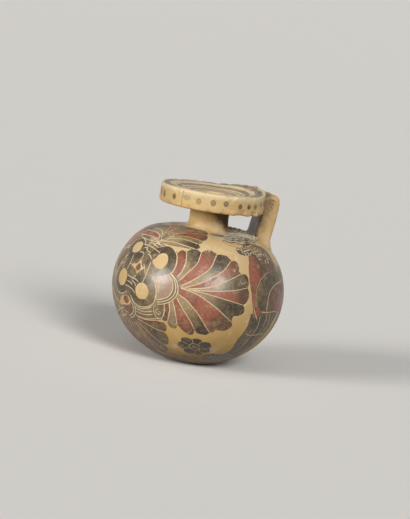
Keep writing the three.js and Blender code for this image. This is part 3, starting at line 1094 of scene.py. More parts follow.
rosette = {  # lengths are shares of the rosette's radius
    "core": 0.76,
    "scallop": 0.24,
    "scallopPower": 0.7,
    "uneven": (0.10, 0.05),
    "heart": 0.34,
    "eye": 0.12,
    "eyeWidth": 0.28,
    "line": (0.38, 0.6),
    "lineEnd": (0.78, 0.95),
    "lineBow": 0.05,
    "lineTurn": 0.08,
    "lineWidth": 0.30,
}
rosettes = [  # middle, radius, sheet, petals, turn
    ((27.0, -28.0), 7.0, "front", 7, 0.35),
    ((33.8, -38.0), 4.5, "front", 6, 0.5),
    ((12.2, -13.6), 3.4, "right", 6, 0.0),
    ((24.6, 20.6), 3.3, "right", 6, 0.0),
    ((12.2, -13.6), 3.4, "left", 6, 0.4),
    ((24.6, 20.6), 3.3, "left", 6, 0.3),
    ((0.0, 3.0), 4.6, "back", 8, 0.2),
    ((0.4, -14.0), 3.6, "back", 7, 0.0),
    ((-0.6, 27.0), 3.4, "back", 6, 0.0),
]


def drawRosette(middle, radius, sheet, petals, turn):
    shape = rosette
    dice = np.random.default_rng(int(radius * 100))
    turns = np.radians(np.arange(0, 360, 5))
    scallop = np.abs(np.cos(petals / 2 * (turns - turn))) ** shape["scallopPower"]
    oval, lopsided = shape["uneven"]
    grow = 1 + oval * np.sin(turns * 2 + 1.3) + lopsided * np.sin(turns * 3 + radius)
    reach = radius * (shape["core"] + shape["scallop"] * scallop) * grow
    outline = np.stack([middle[0] + reach * np.cos(turns), middle[1] + reach * np.sin(turns)], -1)
    patch("black", outline, sheet)
    scratch(smoothRun(ringAt(middle, radius * shape["heart"], 10, 352)), sheet)
    eye = smoothRun(ringAt(middle, radius * shape["eye"], 10, 330), 0.3)
    scratch(eye, sheet, shape["eyeWidth"])
    spread = shape["lineTurn"]
    begin, bend = shape["line"]
    for i in range(petals):
        way = turn + math.pi * (2 * i + 1) / petals + dice.uniform(-spread, spread)
        tip = np.array([math.cos(way), math.sin(way)])
        side = np.array([-tip[1], tip[0]]) * radius * shape["lineBow"] * dice.choice([-1, 1])
        end = tip * radius * dice.uniform(*shape["lineEnd"])
        line = [tip * radius * begin, tip * radius * bend + side, end]
        scratch(np.array(middle) + smoothRun(line), sheet, shape["lineWidth"])


# A lion that faces the flower, drawn on the right and mirrored on the left
lion = {
    "tail": [
        (35.2, 11.8), (39.4, 15.0), (41.2, 20.6), (39.8, 26.2), (36.0, 28.6), (32.4, 26.8),
        (31.8, 23.6),
    ],
    "tailWidth": 2.1,
    "faceLine": (0.34, 0.5, 0.7),  # width, how full the ends stay, how dry
    "jaw": [(-19.6, 31.0), (-19.0, 28.8), (-17.6, 27.2), (-15.6, 26.2), (-13.4, 25.5)],
    "cheek": [(-18.2, 31.4), (-16.6, 29.0), (-14.2, 27.8), (-11.4, 27.4)],
    "under": {  # slip, how dry and outline, in the order of painting
        "farLeg": ("black", 0.25, [
            (7.4, -2.2), (6.8, -8.0), (7.0, -11.0), (8.4, -15.0), (7.6, -20.0), (7.8, -24.6),
            (6.2, -27.4), (1.8, -28.6), (1.4, -30.6), (9.4, -31.4), (12.0, -30.4), (11.8, -25.0),
            (12.4, -19.0), (13.6, -13.0), (13.8, -8.0), (14.0, -2.6),
        ]),
        "farHind": ("black", 0.2, [
            (24.8, -2.2), (23.2, -7.0), (22.6, -12.0), (20.2, -17.0), (18.4, -22.0), (17.4, -26.0),
            (14.2, -28.0), (13.2, -30.2), (15.8, -31.4), (20.4, -31.0), (22.2, -26.0),
            (24.2, -20.0), (27.4, -14.6), (29.2, -11.0), (26.4, -6.0),
        ]),
        "haze": ("grey", (0.55, 0.9, (-4.0, 38.0), (8.0, 34.0)), [
            (-12.6, 39.6), (-8.6, 37.8), (-3.0, 36.8), (2.0, 35.2), (4.4, 31.6), (6.8, 28.6),
            (8.4, 29.4), (9.6, 33.0), (10.8, 37.0), (9.4, 43.0), (4.0, 49.0), (-4.0, 51.0),
            (-10.0, 47.0), (-13.4, 42.6),
        ]),
        "head": ("grey", 0.85, [
            (-19.4, 30.6), (-19.6, 33.6), (-17.6, 36.2), (-14.6, 38.4), (-10.0, 41.4), (-3.0, 42.2),
            (2.0, 40.0), (3.4, 36.0), (3.8, 32.0), (4.2, 28.0), (4.0, 25.6), (1.0, 25.4),
            (-3.0, 26.0), (-7.0, 26.8), (-10.0, 27.8), (-12.6, 28.8), (-15.0, 29.8), (-17.2, 29.6),
        ]),
        "muzzle": ("black", 0.6, [
            (-19.4, 39.6), (-19.2, 37.4), (-17.2, 35.8), (-14.4, 35.2), (-12.6, 36.2),
            (-13.2, 38.6), (-15.2, 40.2), (-17.6, 40.8),
        ]),
        "chest": ("red", (0.0, 1.0, (-12.0, 16.0), (-6.6, 16.4)), [
            (-10.8, 22.4), (-12.9, 18.4), (-14.4, 15.0), (-15.2, 10.6), (-14.6, 5.0), (-13.8, 1.0),
            (-12.6, -2.6), (-10.4, -4.4), (-8.2, -2.2), (-10.8, -0.4), (-12.4, 3.6), (-11.6, 7.8),
            (-8.6, 11.2), (-4.0, 13.3), (2.0, 13.8), (4.6, 13.4), (4.9, 18.0), (4.2, 22.6),
            (0.0, 24.6), (-6.0, 24.2),
        ]),
        "breast": ("red", 1.0, [
            (-5.8, 23.0), (-6.8, 20.4), (-6.6, 17.4), (-5.8, 14.8), (-5.6, 13.3), (-2.0, 13.5),
            (2.0, 13.7), (4.5, 13.3), (4.8, 18.0), (4.1, 22.4), (0.0, 24.4),
        ]),
        "mane": ("black", 0.15, [
            (-16.6, 23.6), (-15.6, 25.2), (-12.2, 25.8), (-10.6, 26.6), (-8.6, 27.8), (-4.0, 27.9),
            (0.0, 26.6), (3.0, 25.2), (4.4, 23.2), (5.0, 20.0), (4.0, 16.8), (2.0, 15.6),
            (-3.0, 16.2), (-6.8, 17.6), (-8.2, 20.2), (-10.6, 21.4), (-13.4, 21.2), (-15.8, 22.2),
        ]),
        "nape": ("red", 1.0, [
            (-4.4, 26.8), (-2.0, 26.9), (0.4, 26.0), (2.8, 24.9), (4.3, 23.2), (5.1, 20.0),
            (4.2, 16.6), (2.0, 15.4), (-3.0, 16.0), (-7.0, 17.4), (-7.0, 20.0), (-5.0, 21.4),
            (-3.6, 23.6), (-3.9, 25.4),
        ]),
    },
    "over": {  # painted over the strands of hair
        "back": ("black", 0.3, [
            (3.0, 16.2), (3.4, 14.4), (4.4, 13.2), (9.0, 12.4), (14.0, 12.8), (18.0, 14.6),
            (14.0, 15.8), (9.0, 15.2), (5.6, 16.4), (4.4, 17.4),
        ]),
        "foreleg": ("black", 0.05, [
            (-13.4, -2.8), (-13.6, -9.0), (-14.2, -12.6), (-14.4, -16.4), (-13.2, -20.4),
            (-13.6, -24.4), (-17.0, -26.4), (-20.4, -27.2), (-21.4, -29.2), (-18.6, -31.4),
            (-8.4, -31.6), (-4.8, -28.0), (-3.4, -22.6), (-1.6, -18.6), (0.2, -13.2), (2.2, -9.4),
            (3.4, -5.6), (3.6, -2.4), (-7.4, -2.3), (-10.4, -4.6),
        ]),
        "shoulder": ("black", 0.1, [
            (-7.6, -2.0), (-10.6, -0.4), (-12.2, 3.6), (-11.4, 7.7), (-8.5, 11.0), (-4.0, 13.1),
            (2.0, 13.6), (7.0, 12.7), (10.6, 10.2), (12.6, 6.0), (12.6, 1.0), (10.0, -2.5),
            (4.0, -2.7), (-2.0, -2.1),
        ]),
        "inside": ("red", (0.9, 0.35, (-4.0, 3.0), (6.0, 3.0)), [
            (-5.1, -1.8), (-5.0, 2.4), (-3.8, 5.6), (0.0, 7.9), (5.0, 8.8), (9.2, 9.7), (11.6, 6.2),
            (11.8, 1.2), (9.4, -2.2), (3.6, -2.5),
        ]),
        "belly": ("black", 0.1, [
            (10.4, 10.4), (12.8, 6.0), (12.8, 0.8), (10.4, -2.4), (15.4, -3.6), (20.4, -3.4),
            (24.6, -1.8), (23.4, 3.0), (23.8, 8.0), (25.8, 12.4), (22.0, 14.4), (17.0, 14.2),
            (12.3, 13.6), (7.6, 13.0),
        ]),
        "stripe": ("red", 0.2, [
            (12.9, 0.6), (17.0, 0.2), (21.0, 0.5), (23.8, 1.2), (24.2, -1.6), (20.2, -3.0),
            (15.4, -3.2), (11.2, -2.2),
        ]),
        "hindLeg": ("black", 0.0, [
            (27.0, -6.2), (30.2, -12.0), (31.8, -17.0), (31.0, -22.0), (29.4, -26.0), (25.6, -27.8),
            (24.2, -30.0), (26.8, -31.6), (32.8, -31.4), (34.8, -28.0), (35.2, -21.0),
            (36.8, -14.0), (36.8, -7.0), (34.8, -5.2), (30.6, -7.2),
        ]),
        "haunch": ("red", 0.15, [
            (26.0, 12.4), (24.0, 8.0), (23.6, 3.0), (25.0, -1.8), (26.8, -6.0), (30.6, -7.0),
            (34.8, -5.0), (37.6, 0.0), (38.0, 6.0), (36.0, 11.0), (32.2, 13.8), (28.4, 14.0),
        ]),
    },
    "lines": [
        [
            (-5.4, -1.9), (-5.3, 2.4), (-4.0, 5.8), (0.0, 8.2), (5.0, 9.1), (9.4, 10.2),
        ],
        [(-12.9, -0.6), (-11.6, -2.8), (-9.6, -5.2)],
        [(-7.8, -2.2), (-0.8, -2.3), (3.6, -2.6)],
        [(-8.6, -3.4), (-7.8, -9.0), (-8.8, -15.0), (-9.8, -25.0)],
        [(-4.8, -2.6), (-3.8, -6.0), (-4.4, -10.6), (-6.0, -16.0)],
        [(-2.0, -2.8), (-1.2, -6.4), (-2.2, -11.4), (-4.2, -17.0)],
        [(1.0, -3.0), (1.0, -6.8), (-0.6, -11.6), (-2.8, -18.0)],
        [(-12.4, -11.6), (-9.0, -12.4), (-1.0, -11.6)],
        [(-12.9, -24.6), (-9.6, -25.6), (-7.2, -25.8)],
        [(-17.8, -27.2), (-17.4, -30.6)],
        [(-15.2, -26.8), (-14.8, -30.8)],
        [(-12.8, -27.4), (-12.4, -30.8)],
        [(10.6, -3.4), (10.0, -9.0), (10.6, -16.0), (10.0, -24.0)],
        [(30.2, -8.0), (33.0, -14.0), (33.2, -22.0), (31.6, -27.0)],
        [(26.4, -8.0), (24.6, -13.0), (22.2, -18.0), (19.8, -26.0)],
        [(27.8, 11.0), (26.2, 6.0), (27.0, 0.6), (30.2, -3.0)],
        [(14.4, 11.8), (15.0, 8.0), (14.6, 4.0)],
        [(17.0, 12.4), (17.6, 8.4), (17.2, 4.4)],
        [(19.8, 12.4), (20.4, 8.4), (20.0, 4.4)],
        [(12.8, 0.9), (17.4, 0.5), (23.6, 1.6)],
        [(4.5, 23.2), (4.9, 18.0), (4.6, 13.4)],
    ],
}


# Wavy strands of hair run back from the face
strands = {
    "seed": 23,
    "roots": [  # the first root, the step to the next, how many
        (-19.0, 31.2, 2.7, 1.7, 6),
        (-9.6, 30.6, 2.4, 1.4, 4),
    ],
    "reach": (8, 12),
    "points": 9,
    "wave": 0.6,
    "waveTurn": (0.9, 1.3),
    "back": (0.94, -0.36),
    "aside": (0.34, 1),
    "width": (0.8, 1.1),
    "blunt": 0.3,
    "dry": 0.2,
}

# Wavy locks over the mane, close together near the jaw, and a few dashes toward the back
locks = {
    "wave": [(-1.0, -0.2), (-0.4, 0.42), (0.35, -0.38), (1.0, 0.2)],
    "start": (-15.0, 24.8),
    "next": (1.75, 0.28),
    "nextRow": (1.1, -1.55),
    "count": (8, 4),
    "size": 0.95,
    "right": -2.4,
    "low": (21.2, -7.0),  # locks left of the second value stay above the first
    "dashes": 9,
    "dashX": (-7.5, 2.5),
    "dashY": (17.0, 21.5),
    "dashSize": 0.5,
    "leans": [-62, 38],
    "leanSpread": 16,
    "width": 0.44,
}


def paintShapes(shapes, sheet):
    for slip, thin, outline in shapes.values():
        patch(slip, blob(outline), sheet, thin=thin)


def scratchLocks(sheet, dice):
    columns, rows = locks["count"]
    (x0, y0), (alongX, alongY), (downX, downY) = locks["start"], locks["next"], locks["nextRow"]
    spots = [(x0 + alongX * i + downX * row, y0 + downY * row + alongY * i)
             for row in range(rows) for i in range(columns)]
    low, near = locks["low"]
    spots = [(x, y, locks["size"]) for x, y in spots
             if x < locks["right"] and (y > low or x > near)]
    spots += [(dice.uniform(*locks["dashX"]), dice.uniform(*locks["dashY"]), locks["dashSize"])
              for _ in range(locks["dashes"])]
    spread = locks["leanSpread"]
    for x, y, size in spots:
        lean = math.radians(dice.choice(locks["leans"]) + dice.uniform(-spread, spread))
        along = np.array([math.cos(lean), math.sin(lean)])
        aside = np.array([-along[1], along[0]])
        lock = np.array([(x, y) + along * u * size + aside * v for u, v in locks["wave"]])
        scratch(smoothRun(lock, 0.35), sheet, locks["width"])


def drawLion(sheet):
    patch("black", band(smoothRun(lion["tail"], 1.2), lion["tailWidth"], 1.0), sheet)
    paintShapes(lion["under"], sheet)
    for line in (lion["jaw"], lion["cheek"]):
        width, blunt, dry = lion["faceLine"]
        patch("black", band(smoothRun(line), width, blunt), sheet, thin=dry)
    dice = np.random.default_rng(strands["seed"])
    roots = [(x + stepX * i, y + stepY * i)
             for x, y, stepX, stepY, count in strands["roots"] for i in range(count)]
    back, aside = strands["back"], strands["aside"]
    for i, start in enumerate(np.array(roots)):
        reach = np.linspace(0, dice.uniform(*strands["reach"]), strands["points"])
        way = strands["wave"] * np.sin(reach * dice.uniform(*strands["waveTurn"]) + i)
        strand = start + np.stack([reach * back[0] + way * aside[0],
                                   reach * back[1] + way * aside[1]], -1)
        outline = band(smoothRun(strand, 0.4), dice.uniform(*strands["width"]), strands["blunt"])
        patch("black", outline, sheet, thin=strands["dry"])
    paintShapes(lion["over"], sheet)
    scratchAll(lion["lines"], sheet)
    for part in ("shoulder", "haunch"):
        outline = lion["over"][part][2]
        scratch(smoothRun(outline + outline[:1]), sheet)
    scratchLocks(sheet, dice)


# Outline of a band of even width along a line. blunt is how full the ends stay.
def band(run, width, blunt=0.35):
    run = np.asarray(run, float)
    along = np.gradient(run, axis=0)
    along /= np.maximum(np.linalg.norm(along, axis=1), 1e-6)[:, None]
    side = np.stack([-along[:, 1], along[:, 0]], -1) * width / 2
    side[0] *= blunt
    side[-1] *= blunt
    return np.vstack([run + side, (run - side)[::-1]])


# The same band as rows of three points across the line
def bandRows(run, width, blunt):
    outline = band(run, width, blunt)
    left, right = outline[:len(run)], outline[len(run):][::-1]
    return np.stack([left, (left + right) / 2, right], 1)


# Ground lines under the figures, each laid in a few parts that just overlap
baseLines = {
    "lines": [(-53.6, 1.2, 0.55), (-57.0, 0.6, 0.8), (-61.5, 0.9, 0.6)],  # degrees, width, how dry
    "part": 60,
    "partReach": 60.4,
    "points": 40,
    "pathWaver": (14, 0.16, 61),  # wavelength, height, seed
    "edgeWaver": (5, 0.10, 62),
}


def drawBaseLines():
    number = baseLines["points"]
    for rise, width, thin in baseLines["lines"]:
        for begin in range(0, 360, baseLines["part"]):
            angle = np.radians(np.linspace(begin, begin + baseLines["partReach"], number))
            spots = bodyPoints(angle, np.full(number, math.radians(rise)))
            middle = math.radians(rise) + waver(spots, *baseLines["pathWaver"]) / sheetRadius
            half = (width / 2 + waver(spots, *baseLines["edgeWaver"])) / sheetRadius
            edges = np.concatenate([middle + half, (middle - half)[::-1]])
            ready = (np.concatenate([angle, angle[::-1]]), edges)
            patches.append({"colour": "black", "ready": ready, "thin": thin})


def anticlockwise(flat):
    x, y = flat.T
    area = np.sum(x * np.roll(y, -1) - np.roll(x, -1) * y)
    return flat if area > 0 else flat[::-1]


# Points that fill the painted area between the outlines
def fillPoints(edges):
    angle, rise = fromMap(edges)
    tree = KDTree(len(edges))
    for i, spot in enumerate(bodyPoints(angle, rise)):
        tree.insert(spot, i)
    tree.balance()
    gap, upward = paintLook["fill"], paintLook["fill"] * paintLook["fillRow"] / sheetRadius
    inside = []
    for row in range(int(paintLook["fillSpan"] / upward)):
        rise = paintLook["fillFrom"] + row * upward
        number = max(6, int(2 * math.pi * bodyRadius * math.cos(rise) / gap))
        angle = (np.arange(number) + 0.5 * (row % 2)) / number * 2 * math.pi
        grid = bodyPoints(angle, np.full(number, rise))
        free = [tree.find(spot)[2] > paintLook["clearance"] for spot in grid]
        inside.append(toMap(angle[free], np.full(sum(free), rise)))
    return np.vstack(inside)


# Cuts all outlines against each other and keeps the paint between the scratches
def layPaint():
    corners = []
    for piece in patches:
        if "ready" in piece:
            angle, rise = piece["ready"]
        else:
            outline = piece["outline"]
            flat = np.hstack([outline, np.zeros((len(outline), 1))])
            wander = [waver(flat, paintLook["wanderLength"], paintLook["edgeWander"], seed)
                      for seed in paintLook["wanderSeeds"]]
            outline = outline + np.stack(wander, -1)
            angle, rise = sheetToBody(outline, piece["sheet"])
        corners.append(anticlockwise(toMap(angle, rise)))
    for piece in scratches:
        angle, rise = sheetToBody(band(piece["line"], piece["width"]), piece["sheet"])
        corners.append(anticlockwise(toMap(angle, rise)))
    starts = np.cumsum([0] + [len(flat) for flat in corners])
    rings = [list(range(a, b)) for a, b in zip(starts[:-1], starts[1:])]
    edges = np.vstack(corners)
    flat = np.vstack([edges, fillPoints(edges)])
    result = delaunay_2d_cdt([Vector(p) for p in flat], [], rings, 1, 1e-5, True)
    angle, rise = fromMap(np.array([tuple(p) for p in result[0]]))
    painted = {}
    for face, owners in zip(result[2], result[5]):
        covers = [owner for owner in owners if owner < len(patches)]
        if not covers:
            continue
        colour = patches[max(covers)]["colour"]
        if max(owners) >= len(patches) and colour != "bare":
            colour = "line"
        painted.setdefault(colour, []).append((face, max(covers)))
    print("paint map:", len(angle), "points,", {c: len(f) for c, f in painted.items()})
    return angle, rise, painted


def thinOnBody(angle, rise, piece):
    if not isinstance(piece["thin"], tuple):
        return np.full(len(angle), piece["thin"])
    start, end, low, high = piece["thin"]
    foot = bodyPoints(*sheetToBody([low], piece["sheet"]))[0]
    way = bodyPoints(*sheetToBody([high], piece["sheet"]))[0] - foot
    share = eased((bodyPoints(angle, rise) - foot) @ way / (way @ way))
    return start * (1 - share) + end * share


# A thin closed skin of slip: top faces, the same ones turned over below, and walls along open edges
def slab(name, top, low, faces, thin, material):
    count = len(top)
    lower = [tuple(v + count for v in reversed(f)) for f in faces]
    edges = dict.fromkeys((f[i], f[(i + 1) % len(f)]) for f in faces for i in range(len(f)))
    walls = [(a, a + count, b + count, b) for a, b in edges if (b, a) not in edges]
    piece = makeMesh(name, np.vstack([top, low]), list(faces) + lower + walls, material)
    layer = piece.data.attributes.new("thin", "FLOAT", "POINT")
    layer.data.foreach_set("value", np.concatenate([thin, thin]))
    piece.data.set_sharp_from_angle(angle=paintLook["creaseAngle"])
    return piece


def makePaint(name, faces, material, lift):
    used = sorted({v for face, _ in faces for v in face})
    place = {v: i for i, v in enumerate(used)}
    angle, rise = paintAngle[used], paintRise[used]
    top = bodyPoints(angle, rise, lift)
    low = bodyPoints(angle, rise, -paintLook["sink"])
    thin = np.zeros(len(used))
    spotsOf = {}
    for face, owner in faces:
        spotsOf.setdefault(owner, set()).update(place[v] for v in face)
    for owner in sorted(spotsOf):
        spots = sorted(spotsOf[owner])
        thin[spots] = thinOnBody(angle[spots], rise[spots], patches[owner])
    turned = []
    middle = np.array([0, 0, bodyCentre])
    for face, _ in faces:
        ids = [place[v] for v in face]
        a, b, c = top[ids[0]], top[ids[1]], top[ids[2]]
        outward = np.dot(np.cross(b - a, c - a), a - middle) > 0
        turned.append(tuple(ids) if outward else tuple(reversed(ids)))
    piece = slab(name, top, low, turned, thin, material)
    seat(piece, "painted_clay")


drawGround()
drawTopLotus()
drawBottomLotus()
drawPalmette()
drawRings()
drawLion("right")
drawLion("left")
for place in rosettes:
    drawRosette(*place)
drawBaseLines()
paintAngle, paintRise, painted = layPaint()
slips = {"black": blackSlip, "red": redSlip, "grey": greySlip, "brown": umberSlip}
for colour, material in slips.items():
    makePaint(colour + "_paint", painted[colour], material, paintLook["lift"])
makePaint("incised_lines", painted["line"], lineClay, paintLook["lineLift"])
print("body paint laid")


# Paint on the mouth and the handle: flat strips dropped along a way onto the finished clay
def dropped(target, starts, way):
    graph = BVHTree.FromObject(target, bpy.context.evaluated_depsgraph_get())
    found = []
    for start, heading in zip(starts, np.broadcast_to(way, starts.shape)):
        spot = graph.ray_cast(Vector(start * mm), Vector(heading))[0]
        if spot is None:
            spot = graph.find_nearest(Vector(start * mm))[0]
        found.append(np.array(spot) / mm)
    return np.array(found)


strokeLook = {"lift": 0.035, "sink": 0.05}


# rows is a grid of start points, row by row along the stroke
def strokeOn(name, target, rows, way, thin, material, slotName, closed=False, lift=None):
    steps, across = rows.shape[:2]
    starts = rows.reshape(-1, 3)
    ways = np.broadcast_to(way, rows.shape).reshape(-1, 3)
    spots = dropped(target, starts, ways)
    faces = []
    for i in range(steps if closed else steps - 1):
        j = (i + 1) % steps
        for k in range(across - 1):
            faces.append((i * across + k, j * across + k, j * across + k + 1, i * across + k + 1))
    a, b, c = (spots[faces[0][n]] for n in (0, 1, 2))
    if np.dot(np.cross(b - a, c - a), ways[0]) > 0:
        faces = [tuple(reversed(f)) for f in faces]
    top = spots - ways * (lift or strokeLook["lift"])
    low = spots + ways * strokeLook["sink"]
    piece = slab(name, top, low, faces, np.full(len(spots), thin), material)
    seat(piece, slotName)


plateRings = {
    "from": 80.0,
    "perDegree": 0.72,
    "across": 0.3,
    "taper": math.radians(9),
    "endFullness": 0.25,
    "pathWaver": (30, 0.16, 70),  # wavelength, height, seed
    "innerWaver": (4, 0.12, 80),
    "outerWaver": (4, 0.12, 90),
    "rings": [  # inner and outer radius, how dry, slip, and the sector that has not worn away
        (18.2, 20.7, 0.25, "black", 34, 292), (17.0, 18.15, 0.72, "black", 24, 128),
        (13.0, 15.3, 0.12, "black", 20, 74), (13.1, 15.2, 0.5, "black", 75, 236),
        (13.0, 15.3, 0.25, "black", 237, 318), (13.4, 15.0, 0.95, "black", -41, 19),
        (11.2, 11.8, 0.35, "brown", 0, 360), (8.2, 9.8, 0.5, "brown", 0, 360),
        (5.6, 6.6, 0.9, "black", 0, 360),
    ],
}


def makePlateRings():
    look = plateRings
    for number, (inner, outer, thin, colour, begin, end) in enumerate(look["rings"]):
        whole = end - begin == 360
        steps = int((end - begin) * look["perDegree"])
        turn = np.radians(np.linspace(begin, end, steps, endpoint=not whole))
        spots = around(outer, turn, 0)
        shift, lowShift, highShift = (
            waver(spots, length, amount, seed + number) for length, amount, seed
            in (look["pathWaver"], look["innerWaver"], look["outerWaver"]))
        low, high = inner + shift + lowShift, outer + shift + highShift
        if not whole:
            fromEnd = np.minimum(turn - turn[0], turn[-1] - turn)
            half = (high - low) / 2 * eased(look["endFullness"] + fromEnd / look["taper"])
            low, high = (low + high) / 2 - half, (low + high) / 2 + half
        count = max(3, int((outer - inner) / look["across"]) + 1)
        share = np.linspace(0, 1, count)
        radius = low[:, None] * (1 - share) + high[:, None] * share
        rows = around(radius, turn[:, None], look["from"])
        down = np.array([0, 0, -1.0])
        strokeOn(f"mouth_ring_{number + 1}", plateSkin, rows, down, thin, slips[colour],
                 "dotted_clay", closed=whole)


makePlateRings()
print("mouth rings painted")

# Geometry Nodes for what repeats. inputs are (name, socket kind).
def startTree(name, inputs):
    tree = bpy.data.node_groups.new(name, "GeometryNodeTree")
    for label, kind in [("Geometry", "Geometry")] + inputs:
        tree.interface.new_socket(label, in_out="INPUT", socket_type="NodeSocket" + kind)
    tree.interface.new_socket("Geometry", in_out="OUTPUT", socket_type="NodeSocketGeometry")
    return tree, tree.nodes.new("NodeGroupInput").outputs, tree.nodes.new("NodeGroupOutput").inputs


# Moves every point a little by noise
def roughened(tree, geometry, scale, detail, amount):
    place = addNode(tree, "GeometryNodeInputPosition")[0]
    noise = addNode(tree, "ShaderNodeTexNoise", {"Vector": place, "Scale": scale, "Detail": detail})
    centred = vectorMath(tree, "SUBTRACT", noise["Color"], (0.5, 0.5, 0.5))
    push = vectorMath(tree, "SCALE", centred, amount)
    return addNode(tree, "GeometryNodeSetPosition", {"Geometry": geometry, "Offset": push})[0]


# Runs a tree on a mesh of points and keeps the result as a plain mesh
def treeMesh(name, tree, points, edges, values, layers=None):
    mesh = bpy.data.meshes.new(name)
    mesh.from_pydata([tuple(p) for p in np.asarray(points) * mm], edges, [])
    for label, numbers in (layers or {}).items():
        mesh.attributes.new(label, "FLOAT", "POINT").data.foreach_set("value", numbers)
    piece = bpy.data.objects.new(name, mesh)
    bpy.context.scene.collection.objects.link(piece)
    modifier = piece.modifiers.new("grow", "NODES")
    modifier.node_group = tree
    for item in tree.interface.items_tree:
        if item.in_out == "INPUT" and item.name in values:
            modifier[item.identifier] = values[item.name]
    graph = bpy.context.evaluated_depsgraph_get()
    made = bpy.data.meshes.new_from_object(piece.evaluated_get(graph), depsgraph=graph,
                                           preserve_all_data_layers=True)
    piece.modifiers.clear()
    piece.data = made
    made.polygons.foreach_set("use_smooth", [True] * len(made.polygons))
    made.set_sharp_from_angle(angle=paintLook["creaseAngle"])
    return piece


# Round dabs of slip pressed onto the clay. Each point has its own "wide", "high" and "thin".
def dabTree():
    tree, given, out = startTree("dabs", [("Clay", "Object"), ("Radius", "Float"), ("Sides", "Int"),
                                          ("Unevenness", "Float"), ("Lift", "Float"),
                                          ("Sink", "Float"), ("Slip", "Material")])
    disc = addNode(tree, "GeometryNodeMeshCircle", {"Vertices": given["Sides"],
                                                    "Radius": given["Radius"]},
                   {"fill_type": "TRIANGLE_FAN"})["Mesh"]
    place = addNode(tree, "GeometryNodeInputPosition")[0]
    outward = vectorMath(tree, "MULTIPLY", place, (1, 1, 0))
    upright = addNode(tree, "FunctionNodeAlignRotationToVector", {"Vector": outward},
                      {"axis": "Z"})[0]
    steady = addNode(tree, "FunctionNodeAlignRotationToVector", {
        "Rotation": upright, "Vector": (0, 0, 1)}, {"axis": "Y", "pivot_axis": "Z"})[0]
    wide, high = (addNode(tree, "GeometryNodeInputNamedAttribute", {"Name": label},
                          {"data_type": "FLOAT"})[0] for label in ("wide", "high"))
    size = addNode(tree, "ShaderNodeCombineXYZ", {0: wide, 1: high, 2: 1.0})[0]
    placed = addNode(tree, "GeometryNodeInstanceOnPoints", {
        "Points": given["Geometry"], "Instance": disc, "Rotation": steady, "Scale": size})[0]
    real = addNode(tree, "GeometryNodeRealizeInstances", {"Geometry": placed})[0]
    ragged = roughened(tree, real, 900.0, 2.0, given["Unevenness"])
    clay = addNode(tree, "GeometryNodeObjectInfo", {"Object": given["Clay"]})["Geometry"]
    hit = addNode(tree, "GeometryNodeRaycast", {
        "Target Geometry": clay, "Ray Length": 0.03,
        "Source Position": vectorMath(tree, "MULTIPLY", place, (1.3, 1.3, 1)),
        "Ray Direction": vectorMath(tree, "MULTIPLY", place, (-1, -1, 0))})
    under = vectorMath(tree, "SCALE", hit["Hit Normal"], given["Sink"])
    low = vectorMath(tree, "SUBTRACT", hit["Hit Position"], under)
    draped = addNode(tree, "GeometryNodeSetPosition", {"Geometry": ragged, "Position": low})[0]
    thick = addNode(tree, "ShaderNodeMath", {0: given["Lift"], 1: given["Sink"]},
                    {"operation": "ADD"})[0]
    raised = addNode(tree, "GeometryNodeExtrudeMesh", {"Mesh": draped, "Offset Scale": thick,
                                                       "Individual": False})["Mesh"]
    turned = addNode(tree, "GeometryNodeFlipFaces", {"Mesh": draped})[0]
    join = tree.nodes.new("GeometryNodeJoinGeometry")
    tree.links.new(turned, join.inputs[0])
    tree.links.new(raised, join.inputs[0])
    closed = addNode(tree, "GeometryNodeMergeByDistance", {"Geometry": join.outputs[0],
                                                           "Distance": 1e-6})[0]
    dressed = addNode(tree, "GeometryNodeSetMaterial", {"Geometry": closed,
                                                        "Material": given["Slip"]})[0]
    tree.links.new(dressed, out[0])
    return tree


rimDots = {
    "height": 68.7,
    "sides": 20,
    "radius": 1.08,
    "unevenness": 0.3,
    "standOff": 0.4,
    "sink": 0.05,
    "dots": [  # degrees round the rim, width, height, how dry, how far up
        (-93, 0.9, 1.2, 0.15, 0.0), (-82.3, 0.95, 1.25, 0.1, -0.3), (-62.8, 0.95, 1.15, 0.2, -0.1),
        (-45.7, 1.6, 1.1, 0.85, 0.55), (-31.8, 1.15, 1.2, 0.7, 0.0), (-15.9, 1.1, 1.2, 0.55, 0.3),
        (-2.1, 1.05, 1.1, 0.35, 0.6), (15.2, 0.95, 1.0, 0.2, 0.05), (27.3, 0.95, 1.0, 0.05, 0.2),
        (37.7, 0.95, 1.0, 0.05, 0.3), (50.5, 0.9, 1.05, 0.2, 1.1), (62, 0.9, 1.2, 0.2, 1.3),
        (126, 1.0, 1.15, 0.1, 0.2), (141, 1.05, 1.2, 0.2, 0.1), (157, 1.0, 1.1, 0.0, -0.1),
        (172, 1.1, 1.2, 0.3, 0.0), (187, 1.0, 1.15, 0.1, 0.2), (203, 1.05, 1.2, 0.0, 0.0),
        (217, 1.0, 1.1, 0.2, -0.2), (232, 1.0, 1.2, 0.1, 0.1), (249, 1.0, 1.25, 0.05, 0.0),
    ],
}


def makeRimDots():
    look = rimDots
    turn, wide, high, thin, up = np.array(look["dots"]).T
    turn = np.radians(turn)
    points = around(plateRadius + look["standOff"], turn, look["height"] + up)
    values = {"Clay": plateSkin, "Radius": look["radius"] * mm, "Sides": look["sides"],
              "Unevenness": look["unevenness"] * mm, "Lift": paintLook["lift"] * mm,
              "Sink": look["sink"] * mm, "Slip": dotSlip}
    layers = {"wide": wide, "high": high, "thin": thin}
    piece = treeMesh("rim_dots", dabTree(), points, [], values, layers)
    seat(piece, "dotted_clay")


makeRimDots()
print("rim dots made")


